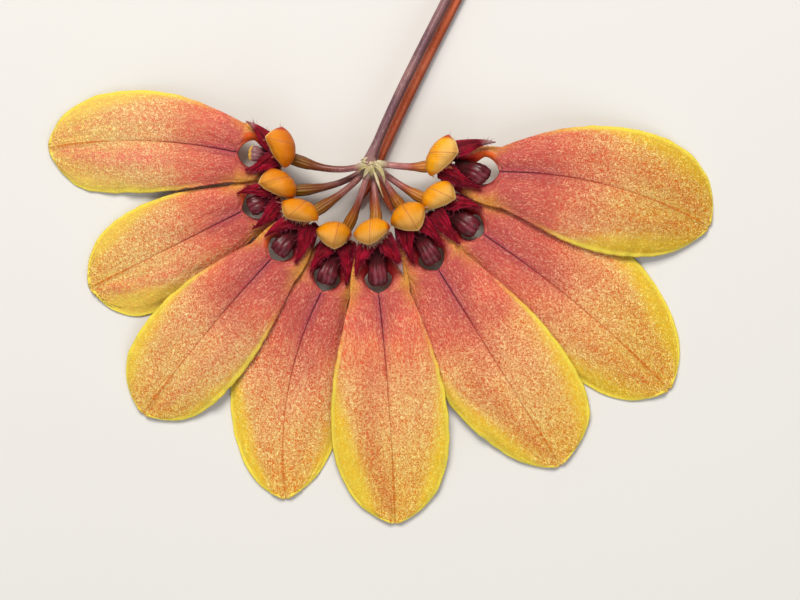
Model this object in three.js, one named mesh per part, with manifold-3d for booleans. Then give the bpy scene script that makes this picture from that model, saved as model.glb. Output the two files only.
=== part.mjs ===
// Bulbophyllum orchid: one picked umbel of eight flowers with its cut stem, lying face up.
// Millimetres, +Z up. The stem runs toward +Y, the flowers fan out over the other side,
// and the broad lateral sepals lie on the surface at z = 0.
import * as THREE from 'three';
import Module from 'manifold-3d';

const wasm = await Module();
wasm.setup();

// ---- driving dimensions -------------------------------------------------------------
const HUB = { x: -1.0, y: 2.9, z: 3.9, radius: 0.95, height: 3.2 };  // where the stalks meet
const STEM = { length: 42, lean: 65.6, radius: 0.6, endRadius: 0.66 };
const REAR_STEM = { length: 43.5, endOffset: 1.72, radius: 0.62, endRadius: 0.76 };
const BLADE = { thickness: 0.7, ridge: 0.42, droop: 1.05, across: 4, legRows: 6, rows: 10 };
const APERTURE = { reach: 2.2, halfWidth: 2.0, neck: 0.98, startAngle: 155, foot: 1.6 };
const HOOD = { thickness: 0.6, back: 1.5, crown: 1.9, axis: 2.35, rows: 7, columns: 10 };
const PETAL = { thickness: 0.6, length: 4.9, root: 1.35, rows: 8 };
const LIP = { halfWidth: 1.0, rise: 1.9, short: 1.35 };
const COLUMN = { radius: 0.6, rise: 1.7 };
const STALK = { hubRadius: 0.36, radius: 0.5, ovaryRadius: 0.74, sides: 10, ribs: 5 };
const LEVEL = { base: 3.3, step: 1.1 };        // flowers overlap, so each sits on a level

// The eight flowers, counter-clockwise from the upper left.
// at: end of the ovary from the hub; face: heading of the flower; throat: from the ovary to
// where the two lateral sepals meet; roll: sideways slope of the blade.
// blade: heading, length and sideways bow of the seam; z: its height at throat, middle, tip.
// left, right: half width, place of the widest point, share at the throat, fullness of the end.
// hood: middle outward and to the left, half length, tilt, place and reach of the front point.
// petals: heading off the axis, lift and, where they differ, the root's place and the length.
// stalk: headings at the hub and at the flower, and its height at the hub.
// lip: how far its tip lies before the throat, and aside; LIP.short and straight if left out.
const FLOWERS = [
  { at: [-9.5, 0.6], face: 174, throat: 7.3, level: 1, roll: 0,
    blade: [178, 23.1, -1.1], z: [4, 2.1, 0.3], stalk: [198, 160, 1.1],
    left: [6.25, 0.55, 0.58, 3.4], right: [6.25, 0.55, 0.58, 2],
    hood: [1.34, -1.05, 2.5, -10, -1, 2], petals: [[20, -0.2, 0.72, 4.0], [-30, 0]],
    lip: [1.9, 0] },
  { at: [-9.4, -3.1], face: 203, throat: 7.4, level: 0, roll: -0.03,
    blade: [206.3, 20.7, 0], z: [3.1, 1.42, 0.3], stalk: [217, 183, -1.1],
    left: [6.2, 0.66, 0.55, 2.8], right: [6.3, 0.55, 0.55, 2.4],
    hood: [1.3, -1.1, 2.35, -14, -1.1, 2.2], petals: [[14, 0], [-10, 0]] },
  { at: [-6.75, -5.6], face: 228, throat: 8.6, level: 1, roll: 0,
    blade: [229.9, 24.4, -0.3], z: [4.3, 3.3, 0.3], stalk: [230, 212, 0],
    left: [6.4, 0.55, 0.6, 2.85], right: [6.6, 0.62, 0.45, 2.65],
    hood: [1.58, -1.2, 2.45, -14, -0.6, 1.5], petals: [[16, -0.05, 1.2], [-12, 0]] },
  { at: [-3.1, -7.75], face: 249, throat: 8.8, level: 0, roll: 0,
    blade: [259.7, 25.6, -1.9], z: [3.1, 1.42, 0.3], stalk: [252, 238, 1.1],
    left: [6.9, 0.6, 0.5, 1.85], right: [7.1, 0.48, 0.5, 1.65],
    hood: [1.4, -1.1, 2.26, -11.5, 0.7, 1.82], petals: [[14, -0.05], [-9, 0]] },
  { at: [0.5, -7.1], face: 272.5, throat: 9.2, level: 2, roll: 0,
    blade: [274, 28, 0.3], z: [5.25, 3.55, 0.3], stalk: [277, 268, 0],
    left: [7.1, 0.6, 0.52, 2.1], right: [7.25, 0.6, 0.47, 2.1],
    hood: [1.35, -0.5, 2.3, -9, -0.35, 1.5], petals: [[20, 0], [-16, 0]] },
  { at: [3.6, -5.25], face: 300.5, throat: 9.4, level: 1, roll: 0.07,
    blade: [302, 28, 0], z: [4.2, 3.1, 0.3], stalk: [306, 308, 1.1],
    left: [7.8, 0.64, 0.48, 3], right: [7.5, 0.52, 0.55, 1.4],
    hood: [1.5, 0.1, 2.35, 2, 0.15, 2.1], petals: [[6, 0], [-10, 0]] },
  { at: [6.4, -4.25], face: 328.5, throat: 8.9, level: 0, roll: 0,
    blade: [320.4, 29.5, 0.8], z: [3.1, 1.42, 0.3], stalk: [322, 335, -1.1],
    left: [8.9, 0.53, 0.45, 1.65], right: [7, 0.6, 0.5, 2.5],
    hood: [1.29, 1.04, 2.33, 10, 0.76, 1.85], petals: [[15, -0.1], [-14, 0.9]] },
  { at: [7.25, -0.25], face: 354.5, throat: 8.8, level: 1, roll: -0.07,
    blade: [345.9, 26.4, 1.65], z: [4.2, 3.1, 0.3], stalk: [352, 8, 1.1],
    left: [7.75, 0.66, 0.38, 2.2], right: [8.1, 0.5, 0.53, 2.2],
    hood: [1.0, 1.15, 2.75, 17, 0.5, 1.9], petals: [[11, 0, 2.4, 5.7], [-12, 0, 1.0, 5.4]],
    lip: [1.95, -1.2] },
];

// ---- small maths --------------------------------------------------------------------
const rad = (degrees) => (degrees * Math.PI) / 180;
const mix = (a, b, t) => a + (b - a) * t;
const smooth = (t) => t * t * (3 - 2 * t);
const along = (heading, distance) => [
  distance * Math.cos(rad(heading)), distance * Math.sin(rad(heading))];

/** A smooth run of values through evenly spaced stations. */
function run(values, t) {
  const last = values.length - 1;
  const i = Math.min(last - 1, Math.floor(t * last));
  const f = t * last - i;
  const at = (k) => values[Math.max(0, Math.min(last, k))];
  const [a, b, c, d] = [at(i - 1), at(i), at(i + 1), at(i + 2)];
  return b + 0.5 * f * (c - a + f * (2 * a - 5 * b + 4 * c - d + f * (3 * (b - c) + d - a)));
}

/** A point on a cubic curve through four handles of any dimension. */
function bezier(p, t) {
  const s = 1 - t;
  const w = [s * s * s, 3 * s * s * t, 3 * s * t * t, t * t * t];
  return p[0].map((_, k) => w[0] * p[0][k] + w[1] * p[1][k] + w[2] * p[2][k] + w[3] * p[3][k]);
}

// ---- solids -------------------------------------------------------------------------
/** A closed geometry from points and triangles. */
function geometryOf(points, faces) {
  const geometry = new THREE.BufferGeometry();
  geometry.setAttribute('position', new THREE.Float32BufferAttribute(points.flat(), 3));
  geometry.setIndex(faces.flat());
  geometry.computeVertexNormals();
  return geometry;
}

/** A closed body between two matching layers of points, joined round their open edges. */
function closed(top, under, faces) {
  const count = top.length;
  const whole = [...faces, ...faces.map(([a, b, c]) => [c + count, b + count, a + count])];
  const edges = new Map();
  for (const [a, b, c] of faces) {
    for (const [p, q] of [[a, b], [b, c], [c, a]]) edges.set(`${p},${q}`, [p, q]);
  }
  for (const [p, q] of edges.values()) {
    if (!edges.has(`${q},${p}`)) whole.push([p, p + count, q + count], [p, q + count, q]);
  }
  return geometryOf([...top, ...under], whole);
}

/** A thin natural sheet, gathered as a middle surface and thickened to both sides. */
class Sheet {
  constructor() {
    this.points = [];
    this.faces = [];
    this.known = new Map();
  }

  point(p) {
    const key = p.map((v) => Math.round(v * 2000)).join();
    if (!this.known.has(key)) {
      this.known.set(key, this.points.length);
      this.points.push(p);
    }
    return this.known.get(key);
  }

  /** Adds a grid of points, rows by columns; turned grids face the other way. */
  grid(rows, turned = false) {
    const ids = rows.map((row) => row.map((p) => this.point(p)));
    for (let i = 0; i + 1 < ids.length; i++) {
      for (let j = 0; j + 1 < ids[i].length; j++) {
        const [a, b, c, d] = [ids[i][j], ids[i + 1][j], ids[i + 1][j + 1], ids[i][j + 1]];
        for (const face of [[a, b, c], [a, c, d]]) {
          if (new Set(face).size === 3) this.faces.push(turned ? face.reverse() : face);
        }
      }
    }
    return ids;
  }

  normals() {
    const sums = this.points.map(() => new THREE.Vector3());
    for (const [a, b, c] of this.faces) {
      const [p, q, r] = [a, b, c].map((k) => new THREE.Vector3(...this.points[k]));
      const n = q.sub(p).cross(r.sub(p));
      for (const k of [a, b, c]) sums[k].add(n);
    }
    return sums.map((n) => n.normalize());
  }

  /** The closed solid; it lies flat where it would reach below the surface. */
  solid(thickness) {
    const n = this.normals();
    const count = this.points.length;
    const shift = (k, d) => [0, 1, 2].map((a) => this.points[k][a] + n[k].getComponent(a) * d);
    const top = this.points.map((_, k) => shift(k, thickness / 2));
    const under = this.points.map((_, k) => shift(k, -thickness / 2));
    const upright = n.reduce((sum, v) => sum + v.z, 0) > 0;
    const [high, low] = upright ? [top, under] : [under, top];
    for (let k = 0; k < count; k++) {
      if (low[k][2] < 0.04) low[k][2] = 0;
      high[k][2] = Math.max(high[k][2], low[k][2] + 0.5 * thickness);
    }
    return closed(top, under, this.faces);
  }
}

/** A closed tube along a path; radius(t, angle) may give ribs, a flat or a groove. */
function tube(path, radius, rings, sides, ease = (t) => t) {
  const points = [];
  const faces = [];
  const at = (t) => new THREE.Vector3(...path(Math.max(0, Math.min(1, t))));
  let side = new THREE.Vector3(0, 0, 1);
  for (let i = 0; i <= rings; i++) {
    const t = ease(i / rings);
    const tangent = at(t + 1e-3).sub(at(t - 1e-3)).normalize();
    const up = side.clone().addScaledVector(tangent, -side.dot(tangent)).normalize();
    const across = up.clone().cross(tangent);
    side = up;
    for (let j = 0; j < sides; j++) {
      const angle = (j / sides) * 2 * Math.PI;
      const [a, b] = [].concat(radius(t, angle));
      const q = at(t).addScaledVector(across, a * Math.cos(angle));
      q.addScaledVector(up, (b ?? a) * Math.sin(angle));
      points.push([q.x, q.y, q.z]);
    }
  }
  for (let i = 0; i < rings; i++) {
    for (let j = 0; j < sides; j++) {
      const k = (j + 1) % sides;
      const [a, b, c, d] = [i * sides + j, i * sides + k, (i + 1) * sides + k, (i + 1) * sides + j];
      faces.push([a, b, c], [a, c, d]);
    }
  }
  const [first, last] = [points.length, points.length + 1];
  points.push(path(0), path(1));
  for (let j = 0; j < sides; j++) {
    const k = (j + 1) % sides;
    faces.push([first, k, j], [last, rings * sides + j, rings * sides + k]);
  }
  return geometryOf(points, faces);
}

/** One body from several that run into each other. */
function fuse(geometries) {
  const solids = geometries.map((g) => new wasm.Manifold(new wasm.Mesh({
    numProp: 3,
    vertProperties: new Float32Array(g.getAttribute('position').array),
    triVerts: new Uint32Array(g.getIndex().array),
  })));
  const whole = solids.reduce((a, b) => a.add(b)).getMesh();
  const geometry = new THREE.BufferGeometry();
  geometry.setAttribute('position', new THREE.BufferAttribute(
    new Float32Array(whole.vertProperties), 3));
  geometry.setIndex(new THREE.BufferAttribute(new Uint32Array(whole.triVerts), 1));
  geometry.computeVertexNormals();
  return geometry;
}

// ---- one flower ---------------------------------------------------------------------
/** Turns a flower's own r (outward), y (to its left) and z into the part's frame. */
function placed(flower) {
  const [c, s] = along(flower.face, 1);
  const [x, y] = [HUB.x + flower.at[0], HUB.y + flower.at[1]];
  return ([r, side, z]) => [x + r * c - side * s, y + r * s + side * c, z];
}

const headHeight = (flower) => LEVEL.base + LEVEL.step * flower.level;

/** The share of its full half width that a blade has at t from throat to tip. */
function bladeShare([, widest, throat, fullness], t) {
  if (t < widest) return mix(throat, 1, Math.sin((Math.PI / 2) * (t / widest)));
  const past = (t - widest) / (1 - widest);
  return Math.max(0.1, Math.sqrt(Math.max(0, 1 - past ** fullness)));
}

/** Seam point and unit heading at t, in the flower's frame. */
function seamAt(flower, t) {
  const [heading, length, bow] = flower.blade;
  const turn = heading - flower.face;
  const [ex, ey] = along(turn, length);
  const [nx, ny] = along(turn + 90, 2 * bow);
  const handle = [ex / 2 + nx, ey / 2 + ny];
  const point = [0, 1].map((k) => 2 * t * (1 - t) * handle[k] + t * t * [ex, ey][k]);
  const pace = [0, 1].map((k) => 2 * (1 - t) * handle[k] + 2 * t * ([ex, ey][k] - handle[k]));
  const size = Math.hypot(...pace);
  return { point: [flower.throat + point[0], point[1]], heading: pace.map((v) => v / size) };
}

/** A blade point: t from throat to tip, u from seam to margin, side +1 left or -1 right. */
function bladePoint(flower, side, t, u) {
  const half = side > 0 ? flower.left : flower.right;
  const share = bladeShare(half, t);
  const { point, heading } = seamAt(flower, t);
  const out = side * u * share * half[0];
  const nose = 0.3 * Math.sin(Math.PI * Math.min(1, u + 0.15)) * t ** 10;
  const [throat, middle, tip] = flower.z;
  const seam = throat * (1 - t) * (1 - 2 * t) + middle * 4 * t * (1 - t) + tip * t * (2 * t - 1);
  const ridge = BLADE.ridge * 4 * u * (1 - u) * (1 - t ** 3);
  const droop = BLADE.droop * share * share * u ** 3;
  return [point[0] - heading[1] * out + heading[0] * nose,
    point[1] + heading[0] * out + heading[1] * nose, seam + ridge - droop + flower.roll * out];
}

/** A point of the narrow leg that carries a blade round the aperture; t from foot to throat. */
function legPoint(flower, side, t, u) {
  const claw = 0.2 + 0.06 * (flower.throat - 7);
  const angle = rad(APERTURE.startAngle * Math.min(1, (1 - t) / (1 - claw)));
  const centre = flower.throat - APERTURE.reach;
  const inner = [centre + APERTURE.reach * Math.cos(angle), mix(
    APERTURE.halfWidth * Math.sin(angle) ** 1.3, APERTURE.neck,
    smooth(Math.max(0, Math.min(1, (angle - 1.5) / 0.9))))];
  inner[0] = mix(APERTURE.foot, inner[0], Math.min(1, t / claw));
  inner[1] *= side;
  const end = bladePoint(flower, side, 0, 1);
  const outer = [mix(APERTURE.foot, end[0], t), mix(side * 1.75, end[1], Math.sin((Math.PI / 2) * t))];
  const leg = mix(headHeight(flower) - 0.3, flower.z[0], smooth(t));
  const roll = -0.8 * Math.sin(Math.PI * t) * (1 - u) ** 1.4 + 0.35 * Math.sin(Math.PI * u);
  const blade = bladePoint(flower, side, 0, u)[2];
  return [mix(inner[0], outer[0], u), mix(inner[1], outer[1], u), mix(leg + roll, blade, t * t)];
}

/** The two lateral sepals of a flower, grown together along the seam beyond the aperture. */
function lateralSepals(flower) {
  const place = placed(flower);
  const sheet = new Sheet();
  for (const side of [1, -1]) {
    const rows = [];
    const steps = Array.from({ length: BLADE.across + 1 }, (_, k) => k / BLADE.across);
    for (let i = 0; i < BLADE.legRows; i++) {
      rows.push(steps.map((u) => place(legPoint(flower, side, i / BLADE.legRows, u))));
    }
    for (let i = 0; i <= BLADE.rows; i++) {
      const t = Math.sin((Math.PI / 2) * (i / BLADE.rows));
      rows.push(steps.map((u) => place(bladePoint(flower, side, t, u))));
    }
    sheet.grid(rows, side < 0);
  }
  return sheet.solid(BLADE.thickness);
}

/** The yellow dorsal sepal, a cap over the column with two corners and a front point. */
function dorsalSepal(flower) {
  const place = placed(flower);
  const [centre, aside, half, tilt, point, reach] = flower.hood;
  const height = headHeight(flower) + HOOD.axis;
  const [back, front] = [rad(225), rad(-8)];
  /** Sections from corner to corner; inset is how far they lie inside the outer face. */
  const sections = (inset) => Array.from({ length: HOOD.columns + 1 }, (_, j) => {
    const share = Math.sin((Math.PI / 2) * mix(-1, 1, j / HOOD.columns));
    const y = half * share;
    const side = y > point ? (y - point) / (half - point) : (point - y) / (half + point);
    const full = (1 - share * share) ** 0.7;
    const fore = reach * Math.max(0, 1 - side ** 1.3) ** 0.95;
    const [c, s] = along(tilt, (y * (half - inset)) / half);
    const slim = (size) => size * (1 - inset / HOOD.crown);
    return Array.from({ length: HOOD.rows + 1 }, (_unused, i) => {
      const a = mix(back, front, i / HOOD.rows);
      const out = Math.cos(a) * (Math.cos(a) < 0 ? HOOD.back * full : fore);
      const up = HOOD.crown * full * Math.sin(a);
      return place([centre + s + slim(out), aside + c, height - 0.35 * share * share + slim(up)]);
    });
  });
  const [outer, inner] = [sections(0), sections(HOOD.thickness)];
  const sheet = new Sheet();
  const ids = sheet.grid(outer, true);
  const under = [];
  ids.forEach((row, i) => row.forEach((id, j) => { under[id] = inner[i][j]; }));
  return closed(sheet.points, under, sheet.faces);
}

/** One crimson petal, broad over the lip's root and drawn out to a point beside it. */
function petal(flower, side) {
  const place = placed(flower);
  const plan = side > 0 ? flower.petals[0] : flower.petals[1];
  const [heading, lift, root = PETAL.root, length = PETAL.length] = plan;
  const base = headHeight(flower) + 1.2 + lift;
  const [er, ey] = along(heading, length);
  const [nr, ny] = along(heading + 90, side);
  const rows = [];
  for (let i = 0; i <= PETAL.rows; i++) {
    const t = i / PETAL.rows;
    const inner = run([0.2, 0.85, 1.0, 0.62, 0.28, 0.1], t);
    const outer = run([0.3, 0.36, 0.38, 0.34, 0.22, 0.1], t);
    const [r, y] = [2.0 + er * t, side * root + ey * t + 0.2 * side * Math.sin(Math.PI * t)];
    const height = base + 0.2 * Math.sin(Math.PI * t) - 0.3 * t * t;
    rows.push([-inner, 0, outer].map((w) => place([r + nr * w, y + ny * w,
      height + 0.14 * Math.abs(w)])));
  }
  const sheet = new Sheet();
  sheet.grid(rows, side < 0);
  return sheet.solid(PETAL.thickness);
}

/** The fleshy tongue-shaped lip, hinged at the column foot and bent over the aperture. */
function lip(flower) {
  const place = placed(flower);
  const base = headHeight(flower);
  const [short, bend] = flower.lip ?? [LIP.short, 0];
  const [foot, end] = [3.1, flower.throat - short];
  const arc = [[foot, 0, base + 0.1], [mix(foot, end, 0.4), 0, base - 0.1],
    [end - 0.1, 0.6 * bend, base + LIP.rise], [end, bend, base - 0.3]];
  const width = (t) => LIP.halfWidth * run([0.6, 0.74, 0.9, 1.02, 0.98, 0.62], t);
  const groove = (a) => 1 - 0.25 * Math.max(0, Math.sin(a)) ** 6;
  return tube((t) => place(bezier(arc, t)),
    (t, a) => [width(t), 0.6 * run([0.55, 0.95, 1, 0.95, 0.85, 0.5], t) * groove(a)], 8, 8);
}

/** The short column under the hood, with its foot and two small horns. */
function column(flower) {
  const place = placed(flower);
  const base = headHeight(flower);
  const tilt = 0.15 * flower.hood[1];
  const rise = [[1.12, 0, base - 0.1], [2.0, 0, base + 0.15], [1.7, 0, base + 1.0],
    [2.1, tilt, base + COLUMN.rise]];
  const body = tube((t) => place(bezier(rise, t)),
    (t) => COLUMN.radius * run([0.75, 1, 0.95, 1.05, 0.6], t), 5, 8);
  const foot = tube((t) => place([mix(1.8, 2.9, t), 0, base + mix(0.25, 0.15, t)]),
    (t) => mix(0.5, 0.34, t), 1, 6);
  const horns = [1, -1].map((side) => tube((t) => place([2.1 + 0.6 * t,
    tilt + side * mix(0.2, 0.45, t), base + COLUMN.rise - 0.1 + 0.3 * t * t]),
  (t) => mix(0.26, 0.12, t), 1, 5));
  return fuse([body, foot, ...horns]);
}

/** The stalk of one flower, from the hub to the ribbed ovary behind the flower. */
function pedicel(flower) {
  const place = placed(flower);
  const [start, end, height] = flower.stalk;
  const [sx, sy] = along(start, 1.28);
  const first = [HUB.x + sx, HUB.y + sy, HUB.z + height];
  const last = place([0.7, 0, headHeight(flower)]);
  const pull = 0.36 * Math.hypot(last[0] - first[0], last[1] - first[1]);
  const [fx, fy] = along(start, pull);
  const [lx, ly] = along(end, -pull);
  const curve = [first, [first[0] + fx, first[1] + fy, first[2] + 0.15],
    [last[0] + lx, last[1] + ly, last[2] + 0.1], last];
  const radius = (t, a) => {
    const ovary = smooth(Math.max(0, (t - 0.45) / 0.55));
    const size = run([STALK.hubRadius, STALK.hubRadius + 0.06, STALK.radius, 0.62,
      STALK.ovaryRadius, 0.6], t);
    return size * (1 + 0.07 * ovary * Math.cos(STALK.ribs * a));
  };
  return tube((t) => bezier(curve, t), radius, 8, STALK.sides);
}

// ---- the stems and bracts -----------------------------------------------------------
/** The main flower stem, from its cut end on the surface to the hub. */
function stem() {
  const [ex, ey] = along(STEM.lean, STEM.length);
  const curve = [[HUB.x + ex, HUB.y + ey, STEM.endRadius],
    [HUB.x + 0.66 * ex + 1.3, HUB.y + 0.66 * ey, 2.2],
    [HUB.x + 0.3 * ex - 1.35, HUB.y + 0.3 * ey, HUB.z - 0.2],
    [HUB.x - 0.5, HUB.y - 0.7, HUB.z]];
  const flare = (t) => smooth(Math.max(0, (t - 0.9) / 0.1));
  const radius = (t) => {
    const plain = mix(STEM.endRadius, STEM.radius, t);
    const cap = Math.sqrt(Math.max(0.15, 1 - Math.max(0, (t - 0.965) / 0.035) ** 2));
    return [mix(plain, HUB.radius, flare(t)) * cap, mix(plain, HUB.height / 2, flare(t)) * cap];
  };
  return tube((t) => bezier(curve, t), radius, 17, 12, (t) => 1 - (1 - t) ** 1.9);
}

/** The second stem close behind, with three spent stalks that end in small ovaries. */
function rearStem() {
  const [ex, ey] = along(STEM.lean, REAR_STEM.length);
  const [nx, ny] = along(STEM.lean - 90, 1);
  const end = [HUB.x + ex + REAR_STEM.endOffset * nx, HUB.y + ey + REAR_STEM.endOffset * ny];
  const neck = [HUB.x + 0.5, HUB.y - 0.4];
  const curve = [[...end, REAR_STEM.endRadius],
    [mix(end[0], neck[0], 0.33) + 0.3, mix(end[1], neck[1], 0.33), 0.7],
    [mix(end[0], neck[0], 0.7) - 0.7, mix(end[1], neck[1], 0.7), 0.7], [...neck, 1.35]];
  const stalks = [[[-1.7, -4.8], 1.35], [[0.1, -6.4], 1.45], [[2.6, -5.8], 1.25]];
  const main = tube((t) => bezier(curve, t),
    (t) => mix(REAR_STEM.endRadius, REAR_STEM.radius, smooth(t)), 12, 10);
  const spent = stalks.map(([[x, y], z]) => {
    const path = [[neck[0] + 0.1, neck[1] + 0.35, 1.3], [neck[0] - 0.1, neck[1] - 1.6, 1.5],
      [HUB.x + 0.75 * x, HUB.y + 0.75 * y, z + 0.1], [HUB.x + x, HUB.y + y, z]];
    return tube((t) => bezier(path, t),
      (t) => run([0.3, 0.4, 0.5, 0.52, 0.46, 0.4, 0.24], t), 8, 7);
  });
  return fuse([main, ...spent]);
}

/** The papery bracts at the hub, joined at a small collar above the stem's end. */
function bracts() {
  const top = HUB.z + HUB.height / 2 + 0.6;
  const collar = tube((t) => [HUB.x - 0.2 + 0.3 * t, HUB.y + mix(0.85, -1.0, t), top],
    (t) => [0.72 * Math.sin(Math.PI * mix(0.14, 0.86, t)), 0.3], 4, 8);
  // heading, bend, length, half width and rise of each
  const scales = [[262, 18, 2.1, 0.4, 0.2], [288, 8, 5.4, 0.24, 0.0], [335, -70, 3.1, 0.3, 0.3],
    [226, 6, 2.0, 0.32, 0.2], [202, 0, 2.0, 0.3, 0.1], [10, -12, 1.9, 0.34, 0.1],
    [170, 10, 1.6, 0.34, 0.1]];
  const leaves = scales.map(([heading, bend, length, half, rise], k) => {
    const rows = [];
    let [x, y] = [HUB.x, HUB.y - 0.1];
    for (let i = 0; i <= 5; i++) {
      const t = i / 5;
      const [dx, dy] = along(heading + bend * t, 1);
      const w = half * run([0.8, 1, 0.95, 0.6, 0.2], t);
      const z = top + 0.03 * (k % 3) + rise * Math.sin(Math.PI * t) - 0.2 * t * t;
      rows.push([-1, 0, 1].map((u) => [x - dy * w * u, y + dx * w * u, z - 0.12 * u * u * t]));
      [x, y] = [x + (dx * length) / 5, y + (dy * length) / 5];
    }
    const sheet = new Sheet();
    sheet.grid(rows);
    return sheet.solid(0.6);
  });
  return fuse([collar, ...leaves]);
}

// ---- the part -----------------------------------------------------------------------
const FINISH = {
  sepal: new THREE.MeshStandardMaterial({ color: 0xdd8a4e, roughness: 0.55, metalness: 0 }),
  hood: new THREE.MeshStandardMaterial({ color: 0xf0a51e, roughness: 0.4, metalness: 0 }),
  petal: new THREE.MeshStandardMaterial({ color: 0x8c0f34, roughness: 0.5, metalness: 0 }),
  lip: new THREE.MeshStandardMaterial({ color: 0x4a0818, roughness: 0.25, metalness: 0 }),
  column: new THREE.MeshStandardMaterial({ color: 0x7a1420, roughness: 0.45, metalness: 0 }),
  stalk: new THREE.MeshStandardMaterial({ color: 0x9c5a3c, roughness: 0.5, metalness: 0 }),
  stem: new THREE.MeshStandardMaterial({ color: 0x84605e, roughness: 0.5, metalness: 0 }),
  rearStem: new THREE.MeshStandardMaterial({ color: 0xc96a4a, roughness: 0.5, metalness: 0 }),
  bract: new THREE.MeshStandardMaterial({ color: 0xc9c39a, roughness: 0.7, metalness: 0 }),
};

const group = new THREE.Group();

function add(name, geometry, material) {
  const mesh = new THREE.Mesh(geometry, material);
  mesh.name = name;
  group.add(mesh);
}

add('scape', stem(), FINISH.stem);
add('rear_scape', rearStem(), FINISH.rearStem);
add('floral_bracts', bracts(), FINISH.bract);
FLOWERS.forEach((flower, k) => {
  const n = k + 1;
  add(`pedicel_${n}`, pedicel(flower), FINISH.stalk);
  add(`column_${n}`, column(flower), FINISH.column);
  add(`dorsal_sepal_${n}`, dorsalSepal(flower), FINISH.hood);
  add(`lateral_sepals_${n}`, lateralSepals(flower), FINISH.sepal);
  add(`petal_left_${n}`, petal(flower, 1), FINISH.petal);
  add(`petal_right_${n}`, petal(flower, -1), FINISH.petal);
  add(`lip_${n}`, lip(flower), FINISH.lip);
});

export default group;
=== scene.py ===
"""The looks of a picked bulbophyllum umbel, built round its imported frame.

Lengths are millimetres in the part's own frame until a mesh is made, which turns them into
metres. Every piece takes the place of one node of the frame and keeps that node's form.
"""

import logging
import math
from collections.abc import Callable, Sequence
from dataclasses import dataclass, field
from enum import Enum
from typing import Any

import bpy
import numpy as np
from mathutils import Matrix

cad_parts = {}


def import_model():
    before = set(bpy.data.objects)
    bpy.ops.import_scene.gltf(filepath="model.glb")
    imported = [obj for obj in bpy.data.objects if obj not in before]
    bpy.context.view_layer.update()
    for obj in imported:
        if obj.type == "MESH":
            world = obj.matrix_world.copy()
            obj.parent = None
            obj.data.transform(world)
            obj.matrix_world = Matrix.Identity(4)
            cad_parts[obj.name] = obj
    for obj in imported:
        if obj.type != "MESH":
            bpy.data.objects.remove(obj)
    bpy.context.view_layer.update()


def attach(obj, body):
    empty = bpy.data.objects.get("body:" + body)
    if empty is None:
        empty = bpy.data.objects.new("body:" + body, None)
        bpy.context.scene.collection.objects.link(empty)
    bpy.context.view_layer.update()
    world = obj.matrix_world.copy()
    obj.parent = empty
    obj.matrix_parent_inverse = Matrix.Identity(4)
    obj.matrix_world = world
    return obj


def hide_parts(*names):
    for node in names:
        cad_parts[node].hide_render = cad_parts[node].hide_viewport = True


log = logging.getLogger("umbel")

MM = 0.001
BODY = "root"
LAY = "lay"      # the one mark that is a vector: lengths along and across a piece

Array = np.ndarray
Colour = tuple[float, float, float, float]


# ---- small maths --------------------------------------------------------------------
def mix(a: Any, b: Any, t: Any) -> Any:
    """The value t of the way from a to b."""
    return a + (b - a) * t


def ease(value: Any, low: float, high: float) -> Any:
    """0 below low, 1 above high and a smooth rise between them."""
    t = np.clip((value - low) / (high - low), 0.0, 1.0)
    return t * t * (3 - 2 * t)


def above(value: Any, floor: Any, soft: float = 0.2) -> Any:
    """The value, or the floor where it is higher, with a rounded turn between them."""
    over = value - floor
    return floor + 0.5 * (over + np.sqrt(over * over + soft * soft))


def hump(value: Any, middle: Any, width: Any) -> Any:
    """A bell of height 1 about a middle."""
    return np.exp(-(((value - middle) / width) ** 2))


def run(values: Sequence[float], t: Any) -> Array:
    """A smooth run of values through evenly spaced stations.

    Args:
        values: The value at each station.
        t: Places from 0, the first station, to 1, the last.

    Returns:
        The value at each place.
    """
    known = np.asarray(values, float)
    last = len(known) - 1
    t = np.asarray(t, float)
    i = np.clip(np.floor(t * last).astype(int), 0, last - 1)
    f = t * last - i
    a, b, c, d = (known[np.clip(i + k, 0, last)] for k in (-1, 0, 1, 2))
    return b + 0.5 * f * (c - a + f * (2 * a - 5 * b + 4 * c - d + f * (3 * (b - c) + d - a)))


def bezier(handles: Sequence[Any], t: Array) -> Array:
    """Points on a cubic curve.

    Args:
        handles: Its four handles.
        t: Places along it from 0 to 1.

    Returns:
        One point a row.
    """
    t = np.asarray(t, float).reshape(-1, 1)
    p = [np.asarray(handle, float) for handle in handles]
    s = 1 - t
    return s**3 * p[0] + 3 * s * s * t * p[1] + 3 * s * t * t * p[2] + t**3 * p[3]


def along(heading: Any, distance: Any) -> tuple[Any, Any]:
    """The x and y steps of a distance on a heading in degrees."""
    turn = np.radians(heading)
    return distance * np.cos(turn), distance * np.sin(turn)


def unit(vectors: Array) -> Array:
    """The same vectors at length 1."""
    return vectors / np.maximum(np.linalg.norm(vectors, axis=-1, keepdims=True), 1e-9)


class Ripple:
    """Smooth seeded waviness over two running lengths."""

    def __init__(self, seed: int, waves: int = 6) -> None:
        """Draws the waves.

        Args:
            seed: What makes this ripple unlike another.
            waves: How many waves it sums.
        """
        rng = np.random.default_rng(seed)
        turn = rng.uniform(0, 2 * math.pi, waves)
        pace = rng.uniform(0.55, 1.6, waves)
        self.waves = list(zip(pace * np.cos(turn), pace * np.sin(turn),
                              rng.uniform(0, 2 * math.pi, waves)))

    def __call__(self, a: Any, b: Any, pitch: float) -> Any:
        """The height, about -1 to 1, at lengths a and b for a usual pitch."""
        total = sum(np.sin((a * p + b * q) * (2 * math.pi / pitch) + phase)
                    for p, q, phase in self.waves)
        return total / math.sqrt(2 * len(self.waves))


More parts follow.
